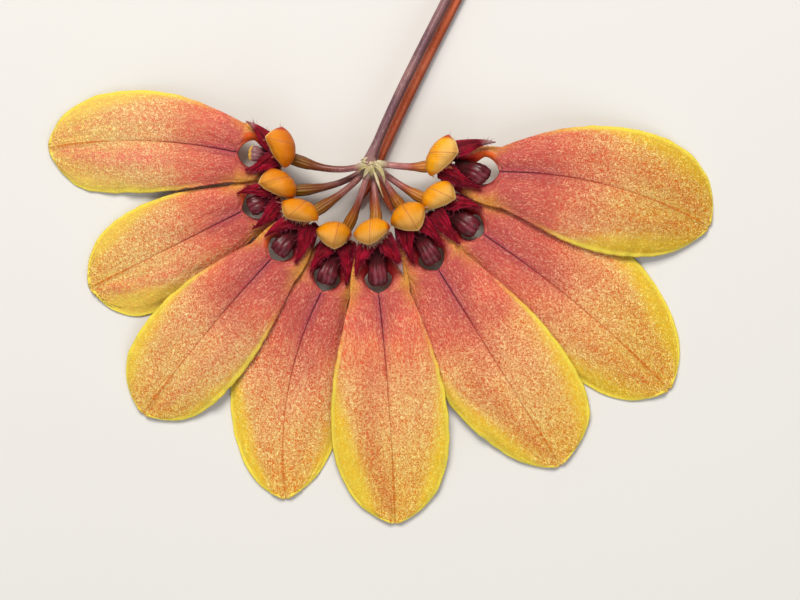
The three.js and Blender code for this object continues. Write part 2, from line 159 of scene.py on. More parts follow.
# ---- meshes -------------------------------------------------------------------------
def grid_faces(rows: int, columns: int, wrap: bool = False, turned: bool = False) -> Array:
    """Four-sided faces over a grid of points.

    Args:
        rows: Rows of points.
        columns: Points in a row.
        wrap: Whether the last column joins the first.
        turned: Whether the faces look the other way.

    Returns:
        Four point numbers a face.
    """
    ids = np.arange(rows * columns).reshape(rows, columns)
    if wrap:
        ids = np.hstack([ids, ids[:, :1]])
    corners = [ids[:-1, :-1], ids[1:, :-1], ids[1:, 1:], ids[:-1, 1:]]
    if turned:
        corners.reverse()
    return np.stack(corners, -1).reshape(-1, 4)


def face_normals(points: Array, faces: Array) -> Array:
    """The normal of a welded surface at each of its points."""
    spans = np.cross(points[faces[:, 2]] - points[faces[:, 0]],
                     points[faces[:, 3]] - points[faces[:, 1]])
    sums = np.zeros_like(points)
    for k in range(4):
        np.add.at(sums, faces[:, k], spans)
    return unit(sums)


@dataclass
class Skin:
    """A mesh that is being gathered, with values that its finishes read."""

    points: list[Array] = field(default_factory=list)
    faces: list[list[int]] = field(default_factory=list)
    finishes: list[int] = field(default_factory=list)
    marks: list[dict[str, Any]] = field(default_factory=list)
    count: int = 0

    def add(self, points: Array, faces: Sequence[Sequence[int]], finish: int = 0,
            **marks: Any) -> None:
        """Adds a patch.

        Args:
            points: Its points, one a row.
            faces: Point numbers of each face, counted within the patch.
            finish: The number of its finish on the piece.
            **marks: Values at its points, or one value for all of them.
        """
        self.faces += [[k + self.count for k in face] for face in faces]
        self.points.append(np.asarray(points, float))
        self.finishes += [finish] * len(faces)
        self.marks.append(marks)
        self.count += len(points)

    def tube(self, path: Callable[[Array], Array], radius: Callable[[Array, Array], Any],
             rings: int, sides: int, places: Array | None = None,
             looks: Callable[[Array, Array], dict[str, Array]] | None = None) -> None:
        """Adds a closed tube along a path.

        Args:
            path: Points of its axis at places from 0 to 1.
            radius: Its half sizes across and up, at places and angles.
            rings: Steps along it.
            sides: Steps round it.
            places: Where its rings stand, evenly if left out.
            looks: Marks beside "along", from the places and angles of its points.
        """
        t = np.linspace(0, 1, rings + 1) if places is None else places
        angle = np.linspace(0, 2 * math.pi, sides, endpoint=False)
        centre = path(t)
        tangent = unit(path(np.minimum(1, t + 1e-3)) - path(np.maximum(0, t - 1e-3)))
        side = np.array([0.0, 0.0, 1.0])
        shape = (len(t), sides)
        wide, high = (np.broadcast_to(size, shape)
                      for size in radius(t[:, None], angle[None, :]))
        body = []
        for i in range(len(t)):
            side = unit(side - tangent[i] * (side @ tangent[i]))
            across = np.cross(side, tangent[i])
            body.append(centre[i] + np.outer(wide[i] * np.cos(angle), across)
                        + np.outer(high[i] * np.sin(angle), side))
        total = rings * sides + sides
        last = rings * sides
        faces = grid_faces(len(t), sides, wrap=True, turned=True).tolist()
        for j in range(sides):
            k = (j + 1) % sides
            faces += [[total, k, j], [total + 1, last + j, last + k]]
        span = np.concatenate([np.repeat(t, sides), t[[0, -1]]])
        turn = np.concatenate([np.tile(angle, len(t)), [0.0, 0.0]])
        marks = looks(span, turn) if looks else {}
        self.add(np.vstack([*body, centre[0], centre[-1]]), faces, along=span, **marks)

    def shell(self, top: Array, under: Array, faces: Array, finish: int = 0,
              bulge: float = 0.8, **marks: Array) -> None:
        """Adds a closed body between two matching layers, with a rounded rim.

        Args:
            top: The upper layer, one point a row.
            under: The matching lower layer.
            faces: Faces of the upper layer.
            finish: The number of its finish.
            bulge: How far the rim stands out, in half thicknesses.
            **marks: Values at the points of a layer; "under" is added.
        """
        size = len(top)
        starts = faces.reshape(-1)
        ends = np.roll(faces, -1, axis=1).reshape(-1)
        open_edge = ~np.isin(starts * size + ends, ends * size + starts)
        a, b = starts[open_edge], ends[open_edge]
        normal = unit(top - under)
        out = np.zeros_like(top)
        for ends_of in (a, b):
            np.add.at(out, ends_of, np.cross(top[b] - top[a], normal[a]))
        rim = np.unique(np.concatenate([a, b]))
        half = 0.5 * np.linalg.norm(top - under, axis=1, keepdims=True)
        middle = (0.5 * (top + under) + unit(out) * half * bulge)[rim]
        place = np.full(size, -1)
        place[rim] = 2 * size + np.arange(len(rim))
        whole = np.vstack([faces, faces[:, ::-1] + size,
                           np.stack([b, a, place[a], place[b]], -1),
                           np.stack([place[b], place[a], a + size, b + size], -1)])
        doubled = {name: np.concatenate([value, value, value[rim]])
                   for name, value in marks.items()}
        doubled["under"] = np.concatenate([np.zeros(size), np.ones(size), np.full(len(rim), 0.4)])
        self.add(np.vstack([top, under, middle]), whole.tolist(), finish, **doubled)

    def hairs(self, roots: Array, headings: Array, lengths: Array, thick: float, seed: int,
              finish: int = 1, curl: float = 0.35, sides: int = 3, steps: int = 4) -> None:
        """Adds tapering hairs.

        Args:
            roots: Where they grow, one point a row.
            headings: Which way each starts.
            lengths: How long each is.
            thick: Their radius at the root.
            seed: What makes this lot unlike another.
            finish: The number of their finish.
            curl: How far they bend, as a share of their length.
            sides: Steps round a hair.
            steps: Steps along a hair.
        """
        rng = np.random.default_rng(seed)
        ahead = unit(headings + rng.normal(0, 0.22, headings.shape))
        bend = rng.normal(0, 1, headings.shape)
        bend = unit(bend - ahead * np.sum(bend * ahead, axis=1, keepdims=True))
        other = np.cross(ahead, bend)
        t = np.linspace(0, 1, steps + 1)[None, :, None]
        size = lengths[:, None, None]
        axis = roots[:, None] + size * (ahead[:, None] * t + bend[:, None] * curl * t * t)
        angle = np.linspace(0, 2 * math.pi, sides, endpoint=False)
        round_it = (bend[:, None] * np.cos(angle)[None, :, None]
                    + other[:, None] * np.sin(angle)[None, :, None])
        width = thick * np.maximum(0.04, (1 - t) ** 0.8)[..., None]
        points = axis[:, :, None] + round_it[:, None] * width
        count = len(roots)
        per = (steps + 1) * sides
        cell = grid_faces(steps + 1, sides, wrap=True, turned=True)
        faces = (cell[None] + (np.arange(count) * per)[:, None, None]).reshape(-1, 4)
        tint = np.repeat(rng.uniform(0, 1, count), per)
        along_it = np.tile(np.repeat(t.ravel(), sides), count)
        self.add(points.reshape(-1, 3), faces.tolist(), finish, along=along_it, tint=tint)

    def build(self, name: str, finishes: Sequence[bpy.types.Material]) -> bpy.types.Object:
        """Makes the object.

        Args:
            name: Its name.
            finishes: Its materials, in the order that the patches number them.

        Returns:
            The object, linked into the scene.
        """
        mesh = bpy.data.meshes.new(name)
        mesh.from_pydata((np.vstack(self.points) * MM).tolist(), [], self.faces)
        for finish in finishes:
            mesh.materials.append(finish)
        mesh.polygons.foreach_set("material_index", self.finishes)
        mesh.polygons.foreach_set("use_smooth", [True] * len(self.faces))
        for mark in sorted(set().union(*self.marks)):
            deep = mark == LAY
            values = [np.broadcast_to(patch.get(mark, 0.0), (len(points), 3)[:1 + deep])
                      for patch, points in zip(self.marks, self.points)]
            layer = mesh.attributes.new(mark, "FLOAT_VECTOR" if deep else "FLOAT", "POINT")
            layer.data.foreach_set("vector" if deep else "value", np.concatenate(values).ravel())
        mesh.update()
        piece = bpy.data.objects.new(name, mesh)
        bpy.context.scene.collection.objects.link(piece)
        return piece


class Sheet:
    """The middle surface of a thin natural sheet, welded from grids of points."""

    def __init__(self) -> None:
        """Starts with nothing."""
        self.patches: list[Array] = []
        self.faces: list[Array] = []
        self.marks: dict[str, list[Array]] = {}
        self.count = 0

    def grid(self, points: Array, turned: bool = False, **marks: Array) -> None:
        """Adds a grid of points with a value of each mark at each of them."""
        rows, columns = points.shape[:2]
        self.patches.append(points.reshape(-1, 3))
        self.faces.append(grid_faces(rows, columns, turned=turned) + self.count)
        for name, value in marks.items():
            flat = value.reshape(-1, 3) if value.ndim == 3 else value.reshape(-1)
            self.marks.setdefault(name, []).append(flat)
        self.count += rows * columns

    def thicken(self, skin: Skin, thickness: str | float, floor: bool = False,
                bulge: float = 0.8) -> None:
        """Welds the grids and adds the body to a skin.

        Args:
            skin: What it is added to.
            thickness: How thick it is, or the mark that says so.
            floor: Whether it lies flat on the surface where it reaches it.
            bulge: How far its rim stands out, in half thicknesses.
        """
        points = np.concatenate(self.patches)
        faces = np.concatenate(self.faces)
        marks = {name: np.concatenate(values) for name, values in self.marks.items()}
        keys = np.round(points * 1000).astype(int)
        _, first, ids = np.unique(keys, axis=0, return_index=True, return_inverse=True)
        ids = ids.reshape(-1)
        points, faces = points[first], ids[faces]
        marks = {name: value[first] for name, value in marks.items()}
        thick = marks.pop(thickness) if isinstance(thickness, str) else thickness
        shift = face_normals(points, faces) * np.broadcast_to(thick, len(points))[:, None] / 2
        top, under = points + shift, points - shift
        if floor:
            under[:, 2] = above(under[:, 2], 0.02)
            top[:, 2] = above(top[:, 2], under[:, 2] + 0.2)
        skin.shell(top, under, faces, bulge=bulge, **marks)


# ---- finishes -----------------------------------------------------------------------
def hue(code: str) -> Colour:
    """The shader's colour for a six-figure colour code."""
    parts = [int(code[k:k + 2], 16) / 255 for k in (0, 2, 4)]
    linear = [v / 12.92 if v <= 0.04045 else ((v + 0.055) / 1.055) ** 2.4 for v in parts]
    return (linear[0], linear[1], linear[2], 1.0)


class Reading:
    """A socket of a shader; arithmetic on it adds Math nodes."""

    def __init__(self, shader: "Shader", socket: bpy.types.NodeSocket) -> None:
        """Wraps a socket of a shader."""
        self.shader = shader
        self.socket = socket

    def __add__(self, other: Any) -> "Reading":
        """The sum."""
        return self.shader.math("ADD", self, other)

    __radd__ = __add__

    def __sub__(self, other: Any) -> "Reading":
        """The difference."""
        return self.shader.math("SUBTRACT", self, other)

    def __rsub__(self, other: Any) -> "Reading":
        """The difference from a number."""
        return self.shader.math("SUBTRACT", other, self)

    def __mul__(self, other: Any) -> "Reading":
        """The product."""
        return self.shader.math("MULTIPLY", self, other)

    __rmul__ = __mul__

    def __truediv__(self, other: Any) -> "Reading":
        """The quotient."""
        return self.shader.math("DIVIDE", self, other)

    def __pow__(self, other: Any) -> "Reading":
        """The power."""
        return self.shader.math("POWER", self, other)

    def __abs__(self) -> "Reading":
        """The size without its sign."""
        return self.shader.math("ABSOLUTE", self)

    def span(self, low: float, high: float) -> "Reading":
        """0 below low, 1 above high and a smooth rise between; it falls if high is lower."""
        node = self.shader.node("ShaderNodeMapRange", {"interpolation_type": "SMOOTHSTEP"},
                                {"Value": self, "From Min": low, "From Max": high})
        return Reading(self.shader, node.outputs["Result"])

    def peak(self, middle: Any, width: float) -> "Reading":
        """1 at the middle, falling to 0 a width away on each side."""
        return abs(self - middle).span(width, 0.0)


class Shader:
    """A material that is being wired."""

    def __init__(self, name: str) -> None:
        """Starts an empty material of that name."""
        self.material = bpy.data.materials.new(name)
        self.material.use_nodes = True
        self.tree = self.material.node_tree
        self.tree.nodes.clear()

    @staticmethod
    def socket(sockets: Any, key: str) -> bpy.types.NodeSocket:
        """The socket with that identifier or, failing that, that name."""
        return next((s for s in sockets if s.identifier == key), None) or sockets[key]

    def node(self, kind: str, settings: dict[str, Any] | None = None,
             inputs: dict[str, Any] | None = None) -> bpy.types.Node:
        """Adds a node.

        Args:
            kind: Its type.
            settings: Its properties, set first; "stops" fills a colour ramp.
            inputs: A number, colour or Reading for each named socket.

        Returns:
            The node.
        """
        node = self.tree.nodes.new(kind)
        for key, value in (settings or {}).items():
            if key == "stops":
                self._fill(node.color_ramp, value)
            else:
                setattr(node, key, value)
        for key, value in (inputs or {}).items():
            socket = self.socket(node.inputs, key)
            if isinstance(value, Reading):
                self.tree.links.new(value.socket, socket)
            else:
                socket.default_value = value
        return node

    @staticmethod
    def _fill(ramp: Any, stops: Sequence[tuple[float, str]]) -> None:
        """Gives a colour ramp its stops."""
        while len(ramp.elements) < len(stops):
            ramp.elements.new(0.5)
        for element, (place, code) in zip(ramp.elements, stops):
            element.position = place
            element.color = hue(code)

    def math(self, operation: str, *values: Any) -> Reading:
        """A Math node on one or two values."""
        node = self.node("ShaderNodeMath", {"operation": operation})
        for socket, value in zip(node.inputs, values):
            if isinstance(value, Reading):
                self.tree.links.new(value.socket, socket)
            else:
                socket.default_value = value
        return Reading(self, node.outputs[0])

    def mark(self, name: str) -> Reading:
        """A number kept at the points of the mesh."""
        node = self.node("ShaderNodeAttribute", {"attribute_name": name})
        return Reading(self, node.outputs["Fac"])

    def scale(self, vector: Any, scales: Sequence[float]) -> Reading:
        """A vector socket scaled on each axis."""
        node = self.node("ShaderNodeVectorMath", {"operation": "MULTIPLY"},
                         {"Vector": Reading(self, vector), "Vector_001": scales})
        return Reading(self, node.outputs["Vector"])

    def lay(self, lengthwise: float = 1.0, crosswise: float = 1.0) -> Reading:
        """Lengths along and across the piece, scaled each way."""
        node = self.node("ShaderNodeAttribute", {"attribute_name": LAY})
        return self.scale(node.outputs["Vector"], (lengthwise, crosswise, 1.0))

    def place(self) -> Reading:
        """The place in the part's frame, in millimetres."""
        node = self.node("ShaderNodeTexCoord")
        return self.scale(node.outputs["Object"], (1 / MM,) * 3)

    def noise(self, where: Reading, scale: float, detail: float = 2.0,
              rough: float = 0.5, warp: float = 0.0) -> Reading:
        """Cloudy noise from 0 to 1, mostly near a half."""
        node = self.node("ShaderNodeTexNoise", {},
                         {"Vector": where, "Scale": scale, "Detail": detail,
                          "Roughness": rough, "Distortion": warp})
        return Reading(self, node.outputs[0])

    def cells(self, where: Reading, scale: float) -> Reading:
        """The distance to the nearest of many scattered points."""
        node = self.node("ShaderNodeTexVoronoi", {}, {"Vector": where, "Scale": scale})
        return Reading(self, node.outputs["Distance"])

    def blend(self, share: Any, first: Any, second: Any) -> Reading:
        """The colour a share of the way from the first to the second."""
        node = self.node("ShaderNodeMix", {"data_type": "RGBA"},
                         {"Factor_Float": share, "A_Color": self._tint(first),
                          "B_Color": self._tint(second)})
        return Reading(self, self.socket(node.outputs, "Result_Color"))

    @staticmethod
    def _tint(value: Any) -> Any:
        """A colour code turned into the shader's colour, or the reading as it is."""
        return hue(value) if isinstance(value, str) else value

    def ramp(self, value: Reading, stops: Sequence[tuple[float, str]]) -> Reading:
        """The colour that a run of stops gives a value."""
        node = self.node("ShaderNodeValToRGB", {"stops": stops}, {"Fac": value})
        return Reading(self, node.outputs["Color"])

    def bump(self, height: Reading, depth: float, strength: float = 1.0) -> Reading:
        """A surface normal from a height of 0 to 1 over a depth in millimetres."""
        node = self.node("ShaderNodeBump", {},
                         {"Height": height, "Distance": depth * MM, "Strength": strength})
        return Reading(self, node.outputs["Normal"])

    def finish(self, **inputs: Any) -> bpy.types.Material:
        """Ends the material with a principled surface.

        Args:
            **inputs: Its sockets, with underscores for the spaces in their names.

        Returns:
            The material.
        """
        settings = {key.replace("_", " "): value for key, value in inputs.items()}
        surface = self.node("ShaderNodeBsdfPrincipled", {}, settings)
        output = self.node("ShaderNodeOutputMaterial")
        self.tree.links.new(surface.outputs[0], output.inputs["Surface"])
        return self.material


@dataclass(frozen=True)
class SepalFinish:
    """Mottled flesh of the lateral sepals: rose at the throat, yellow at the margin."""

    flesh: tuple[tuple[float, str], ...] = (
        (0.0, "bc4a48"), (0.16, "e05c50"), (0.36, "fa7c48"), (0.62, "fc943c"), (1.0, "f69e22"))
    gold: tuple[tuple[float, str], ...] = (
        (0.0, "e68c74"), (0.16, "f8ac7c"), (0.36, "ffd690"), (0.65, "ffe28c"), (1.0, "ffda5e"))
    yellow: str = "fcca24"
    gilt: str = "ffe658"
    peach: str = "f8ca92"
    olive: str = "c09208"
    rim: str = "ffea58"
    amber: str = "de8c34"
    seam: tuple[tuple[float, str], ...] = (
        (0.0, "46203c"), (0.2, "842a38"), (0.42, "b43a20"), (0.7, "ca5a16"), (1.0, "cc7018"))
    olive_gold: str = "e4bc3c"
    # colours of the painted shade in the grooves of the fine relief
    groove_shades: tuple[str, str] = ("b8481c", "cc8e12")
    # colours of the painted highlights on the crests of the fine relief
    crest_highlights: tuple[str, str, str] = ("ffc8a8", "fff6c0", "fff07a")
    shadow: str = "7c3418"
    speck: str = "c05420"
    keels: tuple[str, str] = ("cc4a26", "ea5662")
    halo: str = "8e3458"
    pale_amber: str = "f0b45e"
    # inner wall colours: dark crimson, and orange lightened with painted light
    walls: tuple[str, str] = ("86181a", "f0641e")
    inner: tuple[str, str] = ("8e1018", "d01c20")
    foot: str = "700a14"
    brink: str = "6e1a1c"
    backs: tuple[str, str, str] = ("e8b45c", "d0704e", "f2cf7a")

    def wire(self) -> bpy.types.Material:
        """Wires the material."""
        s = Shader("lateral_sepal")
        t, u = s.mark("along"), s.mark("across")
        seam, edge, leg = s.mark("seam"), s.mark("edge"), s.mark("leg")
        keel, blush, gilt = s.mark("keel"), s.mark("blush"), s.mark("gilt")
        glow, cast = s.mark("glow"), s.mark("cast")
        fine = s.lay()
        broad = s.noise(fine, 0.22, 2.0)
        cloud = s.noise(fine, 0.9, 2.0)
        drift = cloud - 0.5
        grain = s.noise(fine, 6.0, 2.0)
        fibre = s.noise(s.lay(0.16, 1.6), 2.2, 2.0, 0.5, 0.4)
        tone = (t + (broad - 0.5) * 0.35 + (u - 0.5) * 0.2 - blush * 0.2).span(-0.06, 1.05)
        base = t.span(0.42, 0.08)
        worms = abs(s.noise(fine, 4.3, 1.0, 0.4, 1.2) - 0.5)
        drawn = abs(s.noise(s.lay(0.4, 1.15), 4.6, 1.5, 0.5, 0.5) - 0.5)
        lines = worms * (1 - base) + drawn * base
        wide = t.span(0.0, 0.55) * 0.045 + drift * 0.03 + (grain - 0.5) * 0.03 + 0.08
        fleck = lines.span(wide, 0.02)
        flank = (gilt + (lines - 0.1) * 0.8 + drift * 0.3).span(0.12, 0.85)
        flesh = s.blend(flank * 0.92, s.ramp(tone, self.flesh), self.yellow)
        gold = s.blend(flank * 0.88, s.ramp(tone, self.gold), self.gilt)
        amount = (t.span(0.0, 0.4) * 0.46 + 0.54 + drift * 0.4) * (1 - flank * 0.2)
        flesh = s.blend(cast.span(0.0, -1.0) * t.span(0.05, 0.8) * 0.5, flesh, self.peach)
        aged = cast.span(0.0, 1.0) * t.span(0.3, 0.95) * 0.6
        flesh = s.blend(aged, flesh, self.olive)
        gold = s.blend(aged, gold, self.olive_gold)
        # painted shade: darker in the grooves between the fine raised lines, brown inside and amber on
        # the yellow flanks
        groove_shade = lines.span(0.06, 0.15) * t.span(-0.05, 0.4) * (1 - flank * 0.75)
        flesh = s.blend(groove_shade * 0.5, flesh, s.blend(flank, *self.groove_shades))
        flesh = s.blend(fleck * amount, flesh, gold)
        # painted highlight: pale glints on the crests of the fine relief, rosy near the throat, cream
        # further out, bright yellow on the flanks
        crest = lines.span(0.04, 0.0) * grain.span(0.42, 0.58) * t.span(-0.15, 0.35)
        rosy, cream, bright = self.crest_highlights
        crest_highlight = s.blend(flank, s.blend(t.span(0.1, 0.4), rosy, cream), bright)
        flesh = s.blend(crest * 0.85, flesh, crest_highlight)
        flesh = s.blend((fibre - 0.5).span(0.02, 0.2) * 0.28 * (1 - leg), flesh, gold)
        flesh = s.blend(s.mark("shade"), flesh, self.shadow)
        speck = s.cells(fine, 4.4).span(0.2, 0.07) * t.span(0.1, 0.5) * (1 - leg)
        flesh = s.blend(speck * (1 - flank * 0.8) * cloud * 0.55, flesh, self.speck)
        streak = keel * (cloud * 0.7 + 0.4) * (1 - crest * 0.6) * (1 - fleck * 0.45)
        flesh = s.blend(streak * 0.8, flesh, s.blend(cast.span(0.2, -0.8), *self.keels))
        halo = seam.span(1.3, 0.1) * t.span(0.45, 0.02) * (1 - leg.span(0.0, 0.3))
        flesh = s.blend(halo * 0.34, flesh, self.halo)
        line = (seam + t * 0.08).span(0.2, 0.08) * (1 - leg.span(0.0, 0.02))
        flesh = s.blend(line * (0.95 - t.span(0.05, 0.5) * 0.25), flesh, s.ramp(t, self.seam))
        lobe = (leg + drift * 0.1).span(0.0, 0.22) * (u + drift * 0.4).span(0.25, 0.75)
        throat = t.span(0.1, 0.0) * (u + (broad - 0.5) * 0.4).span(0.55, 1.0)
        amber = s.blend(grain.span(0.4, 0.65), self.amber, self.pale_amber)
        flesh = s.blend((lobe * 0.62 + throat * 0.5) * (1 - blush * 0.3), flesh, amber)
        # inner walls of the aperture: dark crimson, or orange and paler on the sides marked for it,
        # partly their own colour and partly painted light
        brink = u + drift * 0.14 - glow * 0.4 + 0.14
        wall = leg.span(0.1, 0.24) * brink.span(0.36, 0.2)
        flesh = s.blend(wall * (glow * 0.2 + 0.7), flesh, s.blend(glow, *self.walls))
        inside = (leg - glow * 0.14).span(0.24, 0.46) * (u + drift * 0.2).span(0.75, 0.4)
        flesh = s.blend(inside * 0.95, flesh, s.blend(glow, *self.inner))
        flesh = s.blend((leg - glow * 0.12 + drift * 0.2).span(0.42, 0.7), flesh, self.foot)
        inner_edge = u.span(0.05, 0.015) * leg.span(0.0, 0.04)
        flesh = s.blend(inner_edge * 0.7, flesh, self.brink)
        rim = (edge + drift * 0.3).span(0.75, 0.1) * t.span(0.1, 0.45)
        flesh = s.blend(rim * (1 - leg.span(0.0, 0.05)) * 0.8, flesh, self.rim)
        under = s.mark("under").span(0.5, 1.0)
        plain, flushed, pale = self.backs
        back = s.blend(fleck * 0.3, s.blend(tone.span(0.7, 0.0) * 0.5, plain, flushed), pale)
        colour = s.blend(under * 0.85, flesh, back)
        height = fleck * 0.6 + grain * 0.2 + fibre * 0.7 + cloud * 0.4
        return s.finish(Base_Color=colour, Roughness=grain * 0.25 + 0.3,
                        Normal=s.bump(height, 0.16, 0.7), Subsurface_Weight=0.1,
                        Subsurface_Radius=(1.0, 0.35, 0.15), Subsurface_Scale=0.6 * MM,
                        Specular_IOR_Level=0.13)


@dataclass(frozen=True)
class HoodFinish:
    """Waxy golden flesh of the dorsal sepal, with fine veins and reddish corners."""

    gold: tuple[str, str] = ("ca6e00", "f0a40c")
    # front colours, partly the hood's own and partly lightened as painted light
    pale: tuple[str, str] = ("de8a12", "f2be62")
    deep: tuple[str, str] = ("b85400", "d48004")
    rim: str = "ffe2a0"
    red: str = "a8240e"
    vein: str = "a05c38"
    mottle: str = "fbd58a"
    edge: str = "c25a14"
    lining: str = "b86414"

    def wire(self) -> bpy.types.Material:
        """Wires the material."""
        s = Shader("dorsal_sepal")
        share, arc, vein = s.mark("share"), s.mark("arc"), s.mark("vein")
        blush, ripe = s.mark("blush"), s.mark("ripe")
        fine = s.place()
        cloud = s.noise(fine, 0.55, 2.0)
        grain = s.noise(fine, 3.5, 3.0)
        gold, pale, deep = (s.blend(ripe, *pair) for pair in (self.gold, self.pale, self.deep))
        flesh = s.blend((arc + (cloud - 0.5) * 0.2).span(0.5, 0.15), gold, deep)
        # paler towards the front point: partly the hood's own colour, partly painted light on the
        # front, which faces away from the lamps
        front = (arc + (cloud - 0.5) * 0.16 - abs(share) * 0.08).span(0.47, 0.7)
        flesh = s.blend(front * 0.92, flesh, pale)
        flesh = s.blend((grain - 0.5).span(0.04, 0.2) * 0.2 * ripe, flesh, self.mottle)
        corner = (abs(share) + (cloud - 0.5) * 0.2).span(0.66, 0.97)
        flesh = s.blend(corner * 0.6, flesh, deep)
        flesh = s.blend(vein * arc.span(0.05, 0.3) * (grain * 0.6 + 0.45), flesh, self.vein)
        flesh = s.blend(arc.peak(0.945, 0.04) * abs(share).span(0.98, 0.8) * 0.7, flesh, self.rim)
        flesh = s.blend(arc.span(0.975, 0.995) * 0.8, flesh, self.edge)
        flesh = s.blend((abs(share) + (cloud - 0.5) * 0.16).span(0.74, 0.94) * blush, flesh,
                        self.red)
        flesh = s.blend(s.mark("under").span(0.5, 1.0) * 0.8, flesh, self.lining)
        height = grain * 0.5 + cloud * 0.6 - vein * 0.4
        return s.finish(Base_Color=flesh, Roughness=grain * 0.25 + 0.34,
                        Normal=s.bump(height, 0.07, 0.6),
                        Subsurface_Weight=0.25, Subsurface_Radius=(1.0, 0.45, 0.1),
                        Subsurface_Scale=0.8 * MM, Specular_IOR_Level=0.16)


@dataclass(frozen=True)
class PetalFinish:
    """Dark crimson petal flesh with darker veins."""

    crimson: str = "740818"
    dark: str = "34020c"
    bright: str = "960d28"
    edge: str = "8e1a36"
    dry: str = "b8a6a0"
    back: str = "5e0c18"

    def wire(self) -> bpy.types.Material:
        """Wires the material."""
        s = Shader("petal")
        t, across, pale = s.mark("along"), s.mark("across"), s.mark("pale")
        fine = s.place()
        cloud = s.noise(fine, 0.8, 2.0)
        veins = s.noise(s.lay(0.3, 3.4), 1.5, 2.0, 0.5, 0.3)
        flesh = s.blend(cloud.span(0.35, 0.65), self.crimson, self.bright)
        flesh = s.blend(veins.span(0.46, 0.6) * 0.75, flesh, self.dark)
        flesh = s.blend(t.span(0.4, 0.0) * 0.6, flesh, self.dark)
        flesh = s.blend(abs(across).span(0.75, 1.0) * 0.35, flesh, self.edge)
        tip = (t + (cloud - 0.5) * 0.2).span(0.66, 0.9) * pale
        flesh = s.blend(tip, flesh, self.dry)
        flesh = s.blend(s.mark("under").span(0.5, 1.0) * 0.5, flesh, self.back)
        return s.finish(Base_Color=flesh, Roughness=veins * 0.25 + 0.4,
                        Normal=s.bump(veins * 0.7 + cloud * 0.5, 0.1, 0.7),
                        Subsurface_Weight=0.06, Subsurface_Radius=(1.0, 0.2, 0.15),
                        Subsurface_Scale=0.5 * MM, Specular_IOR_Level=0.07)


@dataclass(frozen=True)
class LipFinish:
    """Glossy maroon flesh, lilac stripes and painted sheen on its ridges, an amber underside."""

    maroon: str = "480a12"
    dark: str = "240506"
    # lilac of the ridges, partly painted sheen
    lilac: str = "985a66"
    amber: str = "8e4c14"
    wine: str = "66101e"
    frost: str = "8c6466"
    tip: str = "7c3010"
    yellow: str = "e4b040"

    def wire(self) -> bpy.types.Material:
        """Wires the material."""
        s = Shader("lip")
        t, ridge, low, pale = s.mark("along"), s.mark("ridge"), s.mark("low"), s.mark("pale")
        fine = s.place()
        cloud = s.noise(fine, 1.1, 3.0)
        grain = s.noise(fine, 4.0, 3.0)
        flesh = s.blend(cloud.span(0.38, 0.66), self.maroon, self.wine)
        flesh = s.blend(t.span(0.5, 0.25) * 0.7, flesh, self.dark)
        # painted shade: darker towards both sides of the rounded tongue
        flesh = s.blend(abs(s.mark("side")).span(0.5, 1.0) * 0.6, flesh, self.dark)
        # lilac on the top ridges of the bend: partly the lip's own stripes, partly painted sheen
        streaks_and_sheen = ridge * t.span(0.42, 0.6) * (1 - low) * (cloud * 1.3 - 0.2)
        flesh = s.blend(streaks_and_sheen * 0.7, flesh, self.lilac)
        frost = (t + (cloud - 0.5) * 0.3).span(0.3, 0.6) * pale * (1 - low * 0.6)
        flesh = s.blend(frost * 0.75, flesh, self.frost)
        flesh = s.blend(low * t.span(0.45, 0.75) * 0.75, flesh, self.amber)
        end = (t + (cloud - 0.5) * 0.08).span(0.93, 0.99)
        flesh = s.blend(end * 0.6 * (1 - pale), flesh, self.tip)
        flesh = s.blend(pale * (t + (cloud - 0.5) * 0.1).span(0.68, 0.78), flesh, self.yellow)
        return s.finish(Base_Color=flesh, Roughness=cloud * 0.3 + t.span(0.55, 0.35) * 0.4 + 0.2,
                        Normal=s.bump(cloud * 0.6 + grain * 0.4, 0.09, 0.7),
                        Coat_Weight=t.span(0.4, 0.6) * 0.2, Coat_Roughness=0.14,
                        Specular_IOR_Level=0.14)


